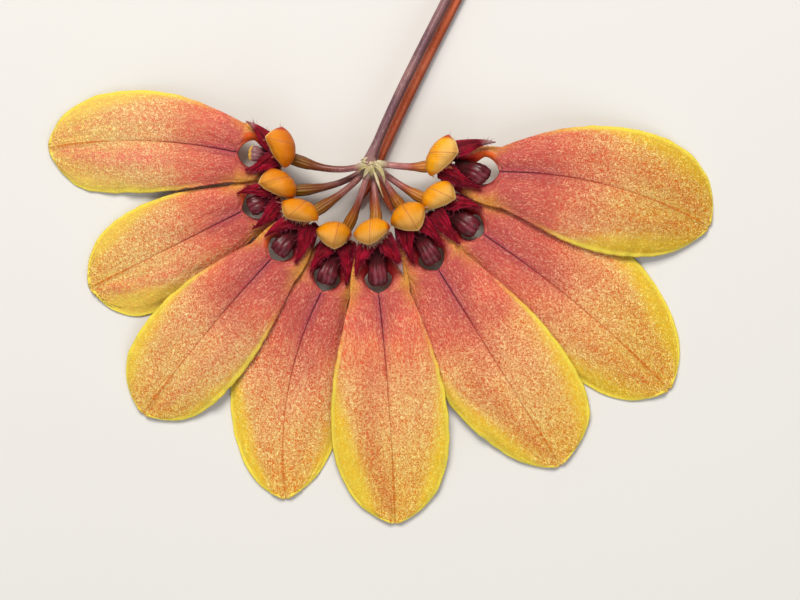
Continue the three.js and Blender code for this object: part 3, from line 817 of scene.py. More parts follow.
@dataclass(frozen=True)
class StalkFinish:
    """Stalk skin: mauve-brown at the hub, olive and orange with pale ribs at the ovary."""

    olive: tuple[tuple[float, str], ...] = (
        (0.0, "8e5a58"), (0.3, "743e36"), (0.5, "6a321c"), (0.68, "6a3010"), (0.86, "744408"),
        (1.0, "82600c"))
    amber: tuple[tuple[float, str], ...] = (
        (0.0, "bc8884"), (0.34, "a86a68"), (0.56, "a04e32"), (0.78, "b46c24"), (1.0, "cc9030"))
    ribs: tuple[str, str] = ("a88228", "e4b050")
    grooves: tuple[str, str] = ("5a2a08", "8e4a10")
    grain: str = "b88c86"
    # pale lengthwise painted sheen, and darker lengthwise stripes
    sheen_and_dark_streaks: tuple[str, str] = ("bc8e8c", "56242a")
    # colour of the painted shade down the sides of a stalk
    flanks: str = "4e1e18"
    sleeve: str = "c4b894"

    def wire(self) -> bpy.types.Material:
        """Wires the material."""
        s = Shader("stalk")
        t, rib = s.mark("along"), s.mark("rib")
        fine = s.place()
        cloud = s.noise(fine, 0.9, 3.0)
        grain = s.noise(fine, 4.0, 3.0)
        place = t + (cloud - 0.5) * 0.3
        ripe = s.mark("ripe").span(0.2, 1.0)
        flesh = s.blend(ripe, s.ramp(place, self.olive), s.ramp(place, self.amber))
        gold = s.blend(ripe, *self.ribs)
        flesh = s.blend(rib * (cloud * 1.4 - 0.1) * t.span(0.5, 0.75) * 0.55, flesh, gold)
        groove = s.mark("groove") * t.span(0.42, 0.72)
        flesh = s.blend(groove * 0.4, flesh, s.blend(ripe, *self.grooves))
        flesh = s.blend(grain.span(0.54, 0.68) * 0.35 * t.span(0.75, 0.35), flesh, self.grain)
        streak = s.noise(s.lay(0.3, 2.6), 1.5, 2.0, 0.5, 0.3)
        # pale lengthwise painted sheen towards the hub end, then darker lengthwise stripes
        flesh = s.blend(streak.span(0.54, 0.64) * 0.5 * t.span(0.7, 0.3), flesh, self.sheen_and_dark_streaks[0])
        flesh = s.blend(streak.span(0.46, 0.36) * 0.45 * t.span(0.9, 0.3), flesh, self.sheen_and_dark_streaks[1])
        # painted shade: darker down both sides of the stalk, for its round look
        flesh = s.blend(abs(s.mark("turn")).span(0.6, 1.0) * 0.4, flesh, self.flanks)
        flesh = s.blend((t + (cloud - 0.5) * 0.04).span(0.08, 0.02), flesh, self.sleeve)
        return s.finish(Base_Color=flesh, Roughness=grain * 0.2 + 0.3,
                        Normal=s.bump(grain, 0.04, 0.6), Specular_IOR_Level=0.25,
                        Subsurface_Weight=0.06, Subsurface_Radius=(1.0, 0.4, 0.2),
                        Subsurface_Scale=0.4 * MM)


@dataclass(frozen=True)
class StemFinish:
    """Skin of a flower stem, flecked and finely striped along it."""

    name: str
    skin: str
    dark: str
    fleck: str
    shade: str
    cut: str = "c8b890"

    def wire(self) -> bpy.types.Material:
        """Wires the material."""
        s = Shader(self.name)
        fine = s.lay()
        cloud = s.noise(fine, 0.35, 3.0)
        stripes = s.noise(s.lay(0.12, 2.4), 1.6, 2.0, 0.5, 0.2)
        grain = s.noise(s.lay(0.6, 1.6), 3.4, 3.0)
        flesh = s.blend(cloud.span(0.35, 0.65), self.skin, self.dark)
        flesh = s.blend(stripes.span(0.5, 0.64) * 0.5, flesh, self.dark)
        flesh = s.blend(grain.span(0.56, 0.68) * 0.6, flesh, self.fleck)
        turn = s.mark("turn")
        # painted shade: darker down one side of the stem and, more lightly, along the other
        flesh = s.blend(turn.span(0.1, 0.85) * 0.85, flesh, self.shade)
        flesh = s.blend(turn.span(-0.75, -1.0) * 0.5, flesh, self.shade)
        flesh = s.blend(s.mark("cut"), flesh, self.cut)
        return s.finish(Base_Color=flesh, Roughness=grain * 0.2 + 0.3,
                        Normal=s.bump(grain * 0.5 + stripes * 0.5, 0.05, 0.7),
                        Specular_IOR_Level=0.25)


@dataclass(frozen=True)
class BractFinish:
    """Dry papery bracts with fine lengthwise veins."""

    paper: str = "e0d4b0"
    brown: str = "946c4c"
    green: str = "bcb07c"
    mauve: str = "8a6460"
    sleeve: tuple[tuple[float, str], ...] = (
        (0.0, "d4ccac"), (0.35, "b8b08a"), (0.7, "a88a7a"), (1.0, "9a6c64"))

    def wire(self) -> bpy.types.Material:
        """Wires the material."""
        s = Shader("bract")
        t = s.mark("along")
        veins = s.noise(s.lay(0.25, 4.0), 1.5, 2.0)
        cloud = s.noise(s.place(), 0.8, 3.0)
        flesh = s.blend(cloud.span(0.35, 0.65), self.paper, self.green)
        flesh = s.blend(veins.span(0.5, 0.66) * 0.6, flesh, self.brown)
        flesh = s.blend(t.span(0.6, 1.0) * 0.5, flesh, self.brown)
        sleeve = s.ramp(t + (cloud - 0.5) * 0.3, self.sleeve)
        flesh = s.blend(s.mark("sheath"), flesh, sleeve)
        flesh = s.blend(s.mark("collar") * (t + (cloud - 0.5) * 0.3).span(0.85, 0.6), flesh, self.mauve)
        return s.finish(Base_Color=flesh, Roughness=veins * 0.2 + 0.55,
                        Normal=s.bump(veins, 0.05, 0.8), Specular_IOR_Level=0.35)


@dataclass(frozen=True)
class HairFinish:
    """Fine hairs, darker at the root than at the tip."""

    name: str
    root: str
    tip: str
    other: str

    def wire(self) -> bpy.types.Material:
        """Wires the material."""
        s = Shader(self.name)
        hair = s.blend(s.mark("along").span(0.1, 0.8), self.root, self.tip)
        hair = s.blend(s.mark("tint").span(0.45, 0.9), hair, self.other)
        return s.finish(Base_Color=hair, Roughness=s.noise(s.place(), 3.0) * 0.2 + 0.4,
                        Specular_IOR_Level=0.12)


@dataclass(frozen=True)
class ColumnFinish:
    """Crimson flesh of the column, paler at its horns."""

    crimson: str = "7a1020"
    bright: str = "a02a28"
    horn: str = "a8602a"

    def wire(self) -> bpy.types.Material:
        """Wires the material."""
        s = Shader("column")
        cloud = s.noise(s.place(), 1.2, 3.0)
        flesh = s.blend(cloud.span(0.35, 0.65), self.crimson, self.bright)
        flesh = s.blend(s.mark("pale"), flesh, self.horn)
        return s.finish(Base_Color=flesh, Roughness=cloud * 0.15 + 0.28,
                        Normal=s.bump(cloud, 0.05, 0.5), Specular_IOR_Level=0.5)


@dataclass(frozen=True)
class FloorFinish:
    """The matt paper that the umbel lies on."""

    paper: str = "dcdbd8"
    shade: str = "d2d0cc"

    def wire(self) -> bpy.types.Material:
        """Wires the material."""
        s = Shader("backdrop")
        cloud = s.noise(s.place(), 0.02, 2.0)
        paper = s.blend(cloud * 0.12, self.paper, self.shade)
        return s.finish(Base_Color=paper, Roughness=0.85, Specular_IOR_Level=0.2)


# ---- the plan of the umbel ----------------------------------------------------------
HUB = np.array([-1.0, 2.9, 3.9])
HUB_RADIUS, HUB_HEIGHT = 0.95, 3.2
LEVEL_BASE, LEVEL_STEP = 3.3, 1.1


@dataclass(frozen=True)
class Flower:
    """Where one flower stands and how it is cut, as in the frame's own plan.

    at is the end of the ovary from the hub and face the heading. throat is where the lateral
    sepals meet. blade holds heading, length and bow of the seam and z its heights. left and
    right hold half width, place of the widest point, share at the throat and fullness of the
    end. hood holds middle outward and to the left, half length, tilt, place and reach of the
    point. petals hold heading, lift and root. stalk holds the two headings and the height at
    the hub. The rest are looks: how rosy it is, how wide its yellow flanks are and how
    strong its side keels, left and right, whether it pales to peach or turns to olive, how
    orange its inner walls are, with painted light on them, how much painted shade darkens
    its lateral sepals, how yellow its hood is, and marks of single flowers.
    """

    number: int
    at: tuple[float, float]
    face: float
    throat: float
    level: int
    roll: float
    blade: tuple[float, float, float]
    z: tuple[float, float, float]
    stalk: tuple[float, float, float]
    left: tuple[float, float, float, float]
    right: tuple[float, float, float, float]
    hood: tuple[float, float, float, float, float, float]
    petals: tuple[tuple[float, ...], tuple[float, ...]]
    rosy: float = 0.0
    gilt: tuple[float, float] = (0.3, 0.3)
    keels: tuple[float, float] = (0.4, 0.4)
    cast: float = 0.0
    shade: float = 0.0
    # how orange the inner walls are on each side, partly painted light
    glow: tuple[float, float] = (0.0, 0.0)
    ripe: float = 0.5
    lip_width: float = 1.0
    lip_short: float = 1.35
    lip_bend: float = 0.0
    red_corners: tuple[float, float] = (0.25, 0.25)
    pale_petals: tuple[float, float] = (0.0, 0.0)
    smooth_petals: tuple[float, float] = (0.0, 0.0)
    shaggy: float = 0.0
    pale_lip: float = 0.0

    @property
    def head(self) -> float:
        """The height of the flower's axis."""
        return LEVEL_BASE + LEVEL_STEP * self.level

    def place(self, local: Array) -> Array:
        """Points of the flower's own outward, left and up turned into the part's frame."""
        c, s = along(self.face, 1.0)
        r, side, z = local[..., 0], local[..., 1], local[..., 2]
        x, y = HUB[0] + self.at[0], HUB[1] + self.at[1]
        return np.stack([x + r * c - side * s, y + r * s + side * c, z], -1)

    def seed(self, salt: int) -> int:
        """A seed for one of the flower's own uneven features."""
        return 1000 * self.number + salt

    def half(self, side: int) -> tuple[float, float, float, float]:
        """The measures of the blade on a side."""
        return of_side((self.left, self.right), side)

    def heading(self, local: Array) -> Array:
        """Directions of the flower's own axes turned into the part's frame."""
        return self.place(local) - self.place(np.zeros((1, 3)))


def of_side(pair: Sequence[Any], side: int) -> Any:
    """The value of a left and right pair that belongs to a side, 1 for left and -1 for right."""
    return pair[0 if side > 0 else 1]


FLOWERS = (
    Flower(1, (-9.5, 0.6), 174, 7.3, 1, 0, (178, 23.1, -1.1), (4, 2.1, 0.3), (198, 160, 1.1),
           (6.25, 0.55, 0.58, 3.9), (6.25, 0.55, 0.58, 2.2), (1.34, -1.05, 2.5, -10, -1, 2),
           ((20, -0.2, 0.72, 4.0), (-30, 0)), rosy=0.1, gilt=(0.24, 0.3), keels=(1.0, 0.35),
           shade=0.1, ripe=0.0, cast=-1.0, glow=(0.0, 1.0), lip_width=0.78, lip_short=1.9,
           red_corners=(0.1, 1.0), pale_petals=(0.0, 0.35), smooth_petals=(0.0, 0.8), pale_lip=1.0),
    Flower(2, (-9.4, -3.1), 203, 7.4, 0, -0.03, (206.3, 20.7, 0), (3.1, 1.42, 0.3),
           (217, 183, -1.1), (6.2, 0.66, 0.55, 2.8), (6.3, 0.55, 0.55, 2.4),
           (1.3, -1.1, 2.35, -14, -1.1, 2.2), ((14, 0), (-10, 0)), gilt=(0.5, 0.34),
           keels=(0.7, 0.2), shade=0.14, ripe=0.25, cast=-0.55, glow=(0.0, 0.9)),
    Flower(3, (-6.75, -5.6), 228, 8.6, 1, 0, (229.9, 24.4, -0.3), (4.3, 3.3, 0.3),
           (230, 212, 0), (6.4, 0.55, 0.6, 2.85), (6.6, 0.62, 0.45, 2.65),
           (1.58, -1.2, 2.45, -14, -0.6, 1.5), ((16, -0.05, 1.2), (-12, 0)),
           rosy=0.3, gilt=(0.18, 0.26), keels=(0.6, 0.4), shade=0.08, ripe=0.4, cast=-0.25,
           glow=(0.0, 0.8), shaggy=0.6),
    Flower(4, (-3.1, -7.75), 249, 8.8, 0, 0, (259.7, 25.6, -1.9), (3.1, 1.42, 0.3),
           (252, 238, 1.1), (6.9, 0.6, 0.5, 1.85), (7.1, 0.48, 0.5, 1.65),
           (1.4, -1.1, 2.26, -11.5, 0.7, 1.82), ((14, -0.05), (-9, 0)), rosy=0.42, gilt=(0.2, 0.36),
           keels=(0.5, 0.5), shade=0.06, ripe=0.6, glow=(0.0, 0.12), red_corners=(1.0, 0.3)),
    Flower(5, (0.5, -7.1), 272.5, 9.2, 2, 0, (274, 28, 0.3), (5.25, 3.55, 0.3),
           (277, 268, 0), (7.1, 0.6, 0.52, 2.1), (7.25, 0.6, 0.47, 2.1),
           (1.35, -0.5, 2.3, -9, -0.35, 1.5), ((20, 0), (-16, 0)), gilt=(0.3, 0.44), keels=(0.15, 1.0),
           rosy=-0.25, ripe=0.7, glow=(0.0, 0.1), red_corners=(0.9, 0.3), pale_petals=(0.9, 0.0),
           shaggy=1.0),
    Flower(6, (3.6, -5.25), 300.5, 9.4, 1, 0.07, (302, 28, 0), (4.2, 3.1, 0.3),
           (306, 308, 1.1), (7.8, 0.64, 0.48, 3), (7.5, 0.52, 0.55, 1.4),
           (1.5, 0.1, 2.35, 2, 0.15, 2.1), ((6, 0), (-10, 0)), rosy=0.3, gilt=(0.24, 0.36),
           keels=(0.2, 0.9), cast=0.3, glow=(0.25, 0.0), ripe=0.65),
    Flower(7, (6.4, -4.25), 328.5, 8.9, 0, 0, (320.4, 29.5, 0.8), (3.1, 1.42, 0.3),
           (322, 335, -1.1), (8.9, 0.53, 0.45, 1.65), (7, 0.6, 0.5, 2.5),
           (1.29, 1.04, 2.33, 10, 0.76, 1.85), ((15, -0.1), (-14, 0.9)), rosy=0.4, gilt=(0.34, 0.3),
           keels=(0.5, 0.7), cast=0.8, glow=(0.1, 0.0), ripe=0.9, lip_width=1.08),
    Flower(8, (7.25, -0.25), 354.5, 8.8, 1, -0.07, (345.9, 26.4, 1.65), (4.2, 3.1, 0.3),
           (352, 8, 1.1), (7.75, 0.66, 0.38, 2.2), (8.1, 0.5, 0.53, 2.2),
           (1.0, 1.15, 2.75, 17, 0.5, 1.9), ((11, 0, 2.4, 5.7), (-12, 0, 1.0, 5.4, 1.1)),
           rosy=0.5, gilt=(0.26, 0.36), keels=(0.8, 0.6), cast=1.0, glow=(1.0, 0.0), ripe=1.0,
           shade=0.09, lip_width=1.08, lip_short=1.95, lip_bend=-1.2, red_corners=(1.0, 0.3),
           pale_petals=(0.5, 0.0), smooth_petals=(0.8, 0.0)),
)


class Slot(Enum):
    """The record's material slots."""

    SCAPE = "scape_skin"
    REAR_SCAPE = "rear_scape_skin"
    BRACT = "bract_paper"
    STALK = "stalk_skin"
    COLUMN = "column_flesh"
    HOOD = "hood_flesh"
    SEPAL = "sepal_flesh"
    PETAL = "petal_flesh"
    LIP = "lip_flesh"


def settle(skin: Skin, node: str, slot: Slot,
           finishes: Sequence[bpy.types.Material]) -> bpy.types.Object:
    """Turns a skin into the piece that stands for a node.

    Args:
        skin: The gathered mesh.
        node: The node that it replaces.
        slot: The record's slot of its finish; it is not used.
        finishes: Its materials.

    Returns:
        The piece.
    """
    piece = skin.build(f"{node}_look", finishes)
    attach(piece, BODY)
    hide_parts(node)
    log.info("%s: %d points", piece.name, skin.count)
    return piece


# ---- one flower ---------------------------------------------------------------------
@dataclass
class LateralSepals:
    """Two lateral sepals grown together along a seam, with a leg each side of the aperture."""

    flower: Flower
    thickness: float = 0.7
    rim: float = 0.42
    ridge: float = 0.42
    droop: float = 1.05
    reach: float = 2.2
    half_gap: float = 2.0
    neck: float = 0.98
    start_angle: float = 155.0
    foot: float = 1.6
    rows: int = 128
    leg_rows: int = 34
    columns: int = 28

    def share(self, half: Sequence[float], t: Array) -> Array:
        """The share of its full half width that a blade has at t."""
        _, widest, throat, fullness = half
        near = mix(throat, 1.0, np.sin((math.pi / 2) * np.minimum(1, t / widest)))
        past = np.clip((t - widest) / (1 - widest), 0, 1)
        far = np.maximum(0.1, np.sqrt(np.maximum(0, 1 - past**fullness)))
        return np.where(t < widest, near, far)

    def seam(self, t: Array) -> tuple[Array, Array]:
        """Points and headings of the seam at t, in the flower's plan."""
        heading, length, bow = self.flower.blade
        turn = heading - self.flower.face
        end = np.array(along(turn, length))
        handle = end / 2 + np.array(along(turn + 90, 2 * bow))
        t = t[..., None]
        point = 2 * t * (1 - t) * handle + t * t * end + np.array([self.flower.throat, 0.0])
        return point, unit(2 * (1 - t) * handle + 2 * t * (end - handle))

    def blade(self, side: int, t: Array, u: Array) -> Array:
        """Blade points without relief: t from throat to tip, u from seam to margin."""
        flower = self.flower
        half = flower.half(side)
        share = self.share(half, t)
        point, heading = self.seam(t)
        out = side * u * share * half[0]
        nose = 0.42 * np.sin(math.pi * np.minimum(1, u * 0.9 + 0.1)) * t**12
        throat, middle, tip = flower.z
        seam = throat * (1 - t) * (1 - 2 * t) + middle * 4 * t * (1 - t) + tip * t * (2 * t - 1)
        rise = self.ridge * 4 * u * (1 - u) * (1 - t**3)
        fall = self.droop * share * share * u**3
        return np.stack([point[..., 0] - heading[..., 1] * out + heading[..., 0] * nose,
                         point[..., 1] + heading[..., 0] * out + heading[..., 1] * nose,
                         seam + rise - fall + flower.roll * out], -1)

    def leg(self, side: int, t: Array, u: Array) -> Array:
        """Points of the leg beside the aperture: t from foot to throat."""
        flower = self.flower
        claw = 0.2 + 0.06 * (flower.throat - 7)
        angle = np.radians(self.start_angle * np.minimum(1, (1 - t) / (1 - claw)))
        fork = np.minimum(1, t / claw)
        middle = flower.throat - self.reach
        inner_r = mix(self.foot, middle + self.reach * np.cos(angle), fork)
        inner_y = side * mix(self.half_gap * np.sin(angle) ** 1.3, self.neck,
                             ease(angle, 1.5, 2.4))
        end = self.blade(side, np.zeros(1), np.ones(1))[0]
        outer_r = mix(self.foot, end[0], t)
        outer_y = mix(side * 1.75, end[1], np.sin((math.pi / 2) * t))
        height = mix(flower.head - 0.3, flower.z[0], t * t * (3 - 2 * t))
        roll = -0.8 * np.sin(math.pi * t) * (1 - u) ** 1.4 + 0.35 * np.sin(math.pi * u)
        blade = self.blade(side, np.zeros(1), u)[..., 2]
        return np.stack([mix(inner_r, outer_r, u), mix(inner_y, outer_y, u),
                         mix(height + roll, blade, t * t)], -1)

    def relief(self, side: int, t: Array, u: Array, seam: Array) -> tuple[Array, Array]:
        """Fine rises of a blade and how strongly its side keel shows.

        Args:
            side: 1 for the left blade, -1 for the right one.
            t: Places from throat to tip.
            u: Places from seam to margin.
            seam: Distances from the seam.

        Returns:
            The rise of each point, and the keel's strength there.
        """
        ripple = Ripple(self.flower.seed(3 + side))
        power = of_side(self.flower.keels, side)
        half = self.flower.half(side)
        calm = ease(self.share(half, t), 0.15, 0.7)
        groove = -0.12 * hump(seam, 0, 0.8) * ease(0.66 - t, 0, 0.3)
        crest = 0.16 * hump(seam, 0, 0.2) * ease(t, 0.62, 0.85) * (1 - ease(t, 0.96, 1.0))
        strong = power * power
        keel_at = mix(0.5, 0.3, ease(t, 0.6, 1.0)) + 0.03 * ripple(t * 20, 0, 9) - 0.14 * strong
        wide = 0.1 + 0.1 * strong
        keel = power * hump(u, keel_at, wide) * ease(t, 0.18, 0.5) * (1 - ease(t, 0.9, 1.0))
        rise = groove + crest + 0.2 * keel * ease(t, 0.3, 0.7)
        fine = 0.10 * ripple(t * 25, u * 7 * side, 8.0) * ease(u, 0, 0.3)
        fine += 0.05 * ripple(t * 6, u * 7, 1.3) * ease(u, 0.03, 0.15)
        fine += 0.025 * np.cos(u * 50 + 2 * ripple(t * 10, 5, 6)) * ease(u, 0.05, 0.2)
        fine += 0.18 * ripple(t * 25, side, 3.0) * u**6
        rise += fine * calm
        fold = -0.22 * hump(u, 0.2, 0.12) * ease(0.4 - t, 0, 0.3)
        return rise + fold, keel

    def side(self, sheet: Sheet, side: int) -> None:
        """Adds one blade with its leg to the middle surface."""
        flower = self.flower
        half = flower.half(side)
        k = np.linspace(0, 1, self.columns + 1)
        u = mix(k, (1 - np.cos(math.pi * k)) / 2, 0.6)[None, :]
        lt = (np.arange(self.leg_rows) / self.leg_rows)[:, None]
        bt = np.sin((math.pi / 2) * np.linspace(0, 1, self.rows + 1))[:, None]
        leg = self.leg(side, lt, u)
        blade = self.blade(side, bt, u + 0 * bt)
        local = np.concatenate([leg, blade])
        width = np.linalg.norm(leg[:, -1:, :2] - leg[:, :1, :2], axis=-1)
        reach = np.concatenate([width, self.share(half, bt) * half[0]])
        t = np.concatenate([0 * lt, bt]) + 0 * u
        on_leg = np.concatenate([1 - lt, 0 * bt]) + 0 * u
        u = u + 0 * t
        seam = reach * u + 9 * on_leg
        rise, keel = self.relief(side, t, u, seam)
        local[..., 2] += rise * (1 - ease(on_leg, 0.0, 0.35))
        local = self.soften(local)
        edge_wave = Ripple(flower.seed(9 + side))(t * 27, side * 3.0, 2.6)
        shift = side * 0.07 * edge_wave * u**8 * ease(t, 0.05, 0.2) * (1 - ease(t, 0.9, 1.0))
        local[..., 1] += shift
        edge = reach * (1 - u)
        lay = np.stack([t * flower.blade[1] - on_leg * 6, side * reach * u,
                        np.full_like(t, 11.3 * flower.number)], -1)
        thick = mix(self.rim, self.thickness, ease(edge, 0, 1.2))
        thick -= 0.34 * hump(seam, 0, 0.15) * ease(0.72 - t, 0, 0.3)
        width = 0.02 + of_side(flower.gilt, side) * ease(t, 0.22, 0.84) * (1 - 0.4 * ease(t, 0.86, 1))
        gilt = np.clip(0.5 + (u - 1 + width) / 0.42, 0, 1) * ease(t, 0.1, 0.5)
        sheet.grid(flower.place(local), side < 0, along=t, across=u, seam=seam, edge=edge,
                   leg=on_leg, keel=keel, gilt=gilt, lay=lay, thick=thick,
                   blush=np.full_like(t, flower.rosy), cast=np.full_like(t, flower.cast),
                   shade=np.full_like(t, flower.shade),
                   glow=np.full_like(t, of_side(flower.glow, side)))

    def soften(self, local: Array) -> Array:
        """The same points with the crease across the throat smoothed out."""
        height = local[..., 2]
        for _ in range(14):
            mean = height.copy()
            mean[1:-1] = (height[:-2] + height[1:-1] * 2 + height[2:]) / 4
            row = np.arange(len(height))[:, None]
            height = mix(height, mean, hump(row, self.leg_rows, 7.0))
        local[..., 2] = height
        return local

    def build(self, finishes: Sequence[bpy.types.Material]) -> bpy.types.Object:
        """Builds and dresses the piece."""
        sheet = Sheet()
        self.side(sheet, 1)
        self.side(sheet, -1)
        skin = Skin()
        sheet.thicken(skin, "thick", floor=True)
        return settle(skin, f"lateral_sepals_{self.flower.number}", Slot.SEPAL, finishes)


@dataclass
class DorsalSepal:
    """The yellow hood over the column, with two corners, a front point and a fringe."""

    flower: Flower
    thickness: float = 0.6
    back: float = 1.5
    crown: float = 1.9
    axis: float = 2.35
    back_angle: float = 225.0
    front_angle: float = -8.0
    rows: int = 48
    columns: int = 100
    fringe: int = 90
    cilium: float = 0.035
    bristle: float = 0.032
    veins: tuple[tuple[float, float], ...] = (
        (0.0, 1.0), (0.14, 0.45), (-0.13, 0.5), (0.27, 0.45), (-0.26, 0.4), (0.41, 0.32),
        (-0.4, 0.32), (0.58, 0.2), (-0.56, 0.2))

    def sections(self, share: Array, angle: Array, inset: float) -> Array:
        """Points of the hood's face, inset from the outer one."""
        centre, aside, half, tilt, point, reach = self.flower.hood
        y = half * share
        side = np.where(y > point, (y - point) / (half - point), (point - y) / (half + point))
        full = (1 - share * share) ** 0.7
        fore = reach * np.maximum(0, 1 - side**1.6) ** 0.85
        c, s = along(tilt, (y * (half - inset)) / half)
        slim = 1 - inset / self.crown
        cosine = np.cos(angle)
        out = cosine * np.where(cosine < 0, self.back * full, fore)
        up = self.crown * full * np.sin(angle)
        height = self.flower.head + self.axis - 0.35 * share * share
        return np.stack([centre + s + slim * out, aside + c + 0 * out,
                         height + slim * up], -1)

    def build(self, finishes: Sequence[bpy.types.Material]) -> bpy.types.Object:
        """Builds and dresses the piece."""
        flower = self.flower
        share = 0.9988 * np.sin((math.pi / 2) * np.linspace(-1, 1, self.columns + 1))[:, None]
        angle = np.radians(np.linspace(self.back_angle, self.front_angle, self.rows + 1))[None, :]
        outer = self.sections(share, angle, 0.0)
        inner = self.sections(share, angle, self.thickness)
        arc = np.linspace(0, 1, self.rows + 1)[None, :] + 0 * share
        wide = share + 0 * arc
        point = flower.hood[4] / flower.hood[2]
        offset = (wide - point * arc) / (1.15 - 0.55 * arc)
        offset = offset + 0.012 * Ripple(flower.seed(20))(arc * 4, wide, 1.5)
        vein = sum(weight * hump(offset, place, 0.026 if place else 0.042)
                   for place, weight in self.veins)
        ripple = Ripple(flower.seed(21))
        dent = 0.05 * ripple(wide * 4, arc * 4, 2.4) - 0.03 * vein
        dent += 0.14 * ease(arc, 0.88, 1.0) - 0.06 * hump(arc, 0.86, 0.05)
        dent += 0.07 * hump(offset, 0.0, 0.16) * ease(arc, 0.3, 0.7)
        fade = np.sqrt(np.maximum(0, 1 - wide**2))
        outer = outer + (outer - inner) / self.thickness * (dent * fade)[..., None]
        left, right = flower.red_corners
        blush = np.where(wide > 0, left, right)
        faces = grid_faces(self.columns + 1, self.rows + 1, turned=True)
        marks = {"share": wide, "arc": arc, "vein": vein, "blush": blush,
                 "ripe": np.full_like(arc, flower.ripe)}
        skin = Skin()
        skin.shell(flower.place(outer).reshape(-1, 3), flower.place(inner).reshape(-1, 3), faces,
                   bulge=0.9, **{name: value.reshape(-1) for name, value in marks.items()})
        self.grow_fringe(skin)
        return settle(skin, f"dorsal_sepal_{flower.number}", Slot.HOOD, finishes)

    def grow_fringe(self, skin: Skin) -> None:
        """Grows the cilia of the front rim and the bristles of its points."""
        flower = self.flower
        rng = np.random.default_rng(flower.seed(31))
        front = np.radians([self.front_angle])
        shares = rng.uniform(-0.97, 0.97, int(self.fringe * (1 + flower.shaggy)))[:, None]
        roots = self.sections(shares, front, 0.3)[:, 0]
        ahead = np.stack([np.full(len(roots), 1.0), 0.5 * shares[:, 0],
                          rng.uniform(-0.9, 0.1, len(roots))], -1)
        lengths = rng.uniform(0.25, 0.6, len(roots)) * (1 + 0.7 * flower.shaggy)
        tips = np.array([[flower.hood[4] / flower.hood[2]], [-0.985], [0.985]])
        bases = np.repeat(self.sections(tips, front, 0.2)[:, 0], [3, 4, 4], axis=0)
        fan = np.array([[1.0, 0.0, -0.1]] * 3 + [[0.5, -1.0, 0.2]] * 4 + [[0.5, 1.0, 0.2]] * 4)
        fan = fan + rng.normal(0, 0.25, fan.shape)
        long = rng.uniform(0.6, 1.1, len(fan))
        skin.hairs(flower.place(roots), flower.heading(ahead), lengths, self.cilium,
                   flower.seed(32), finish=1)
        skin.hairs(flower.place(bases), flower.heading(fan), long, self.bristle,
                   flower.seed(33), finish=2, curl=0.2)


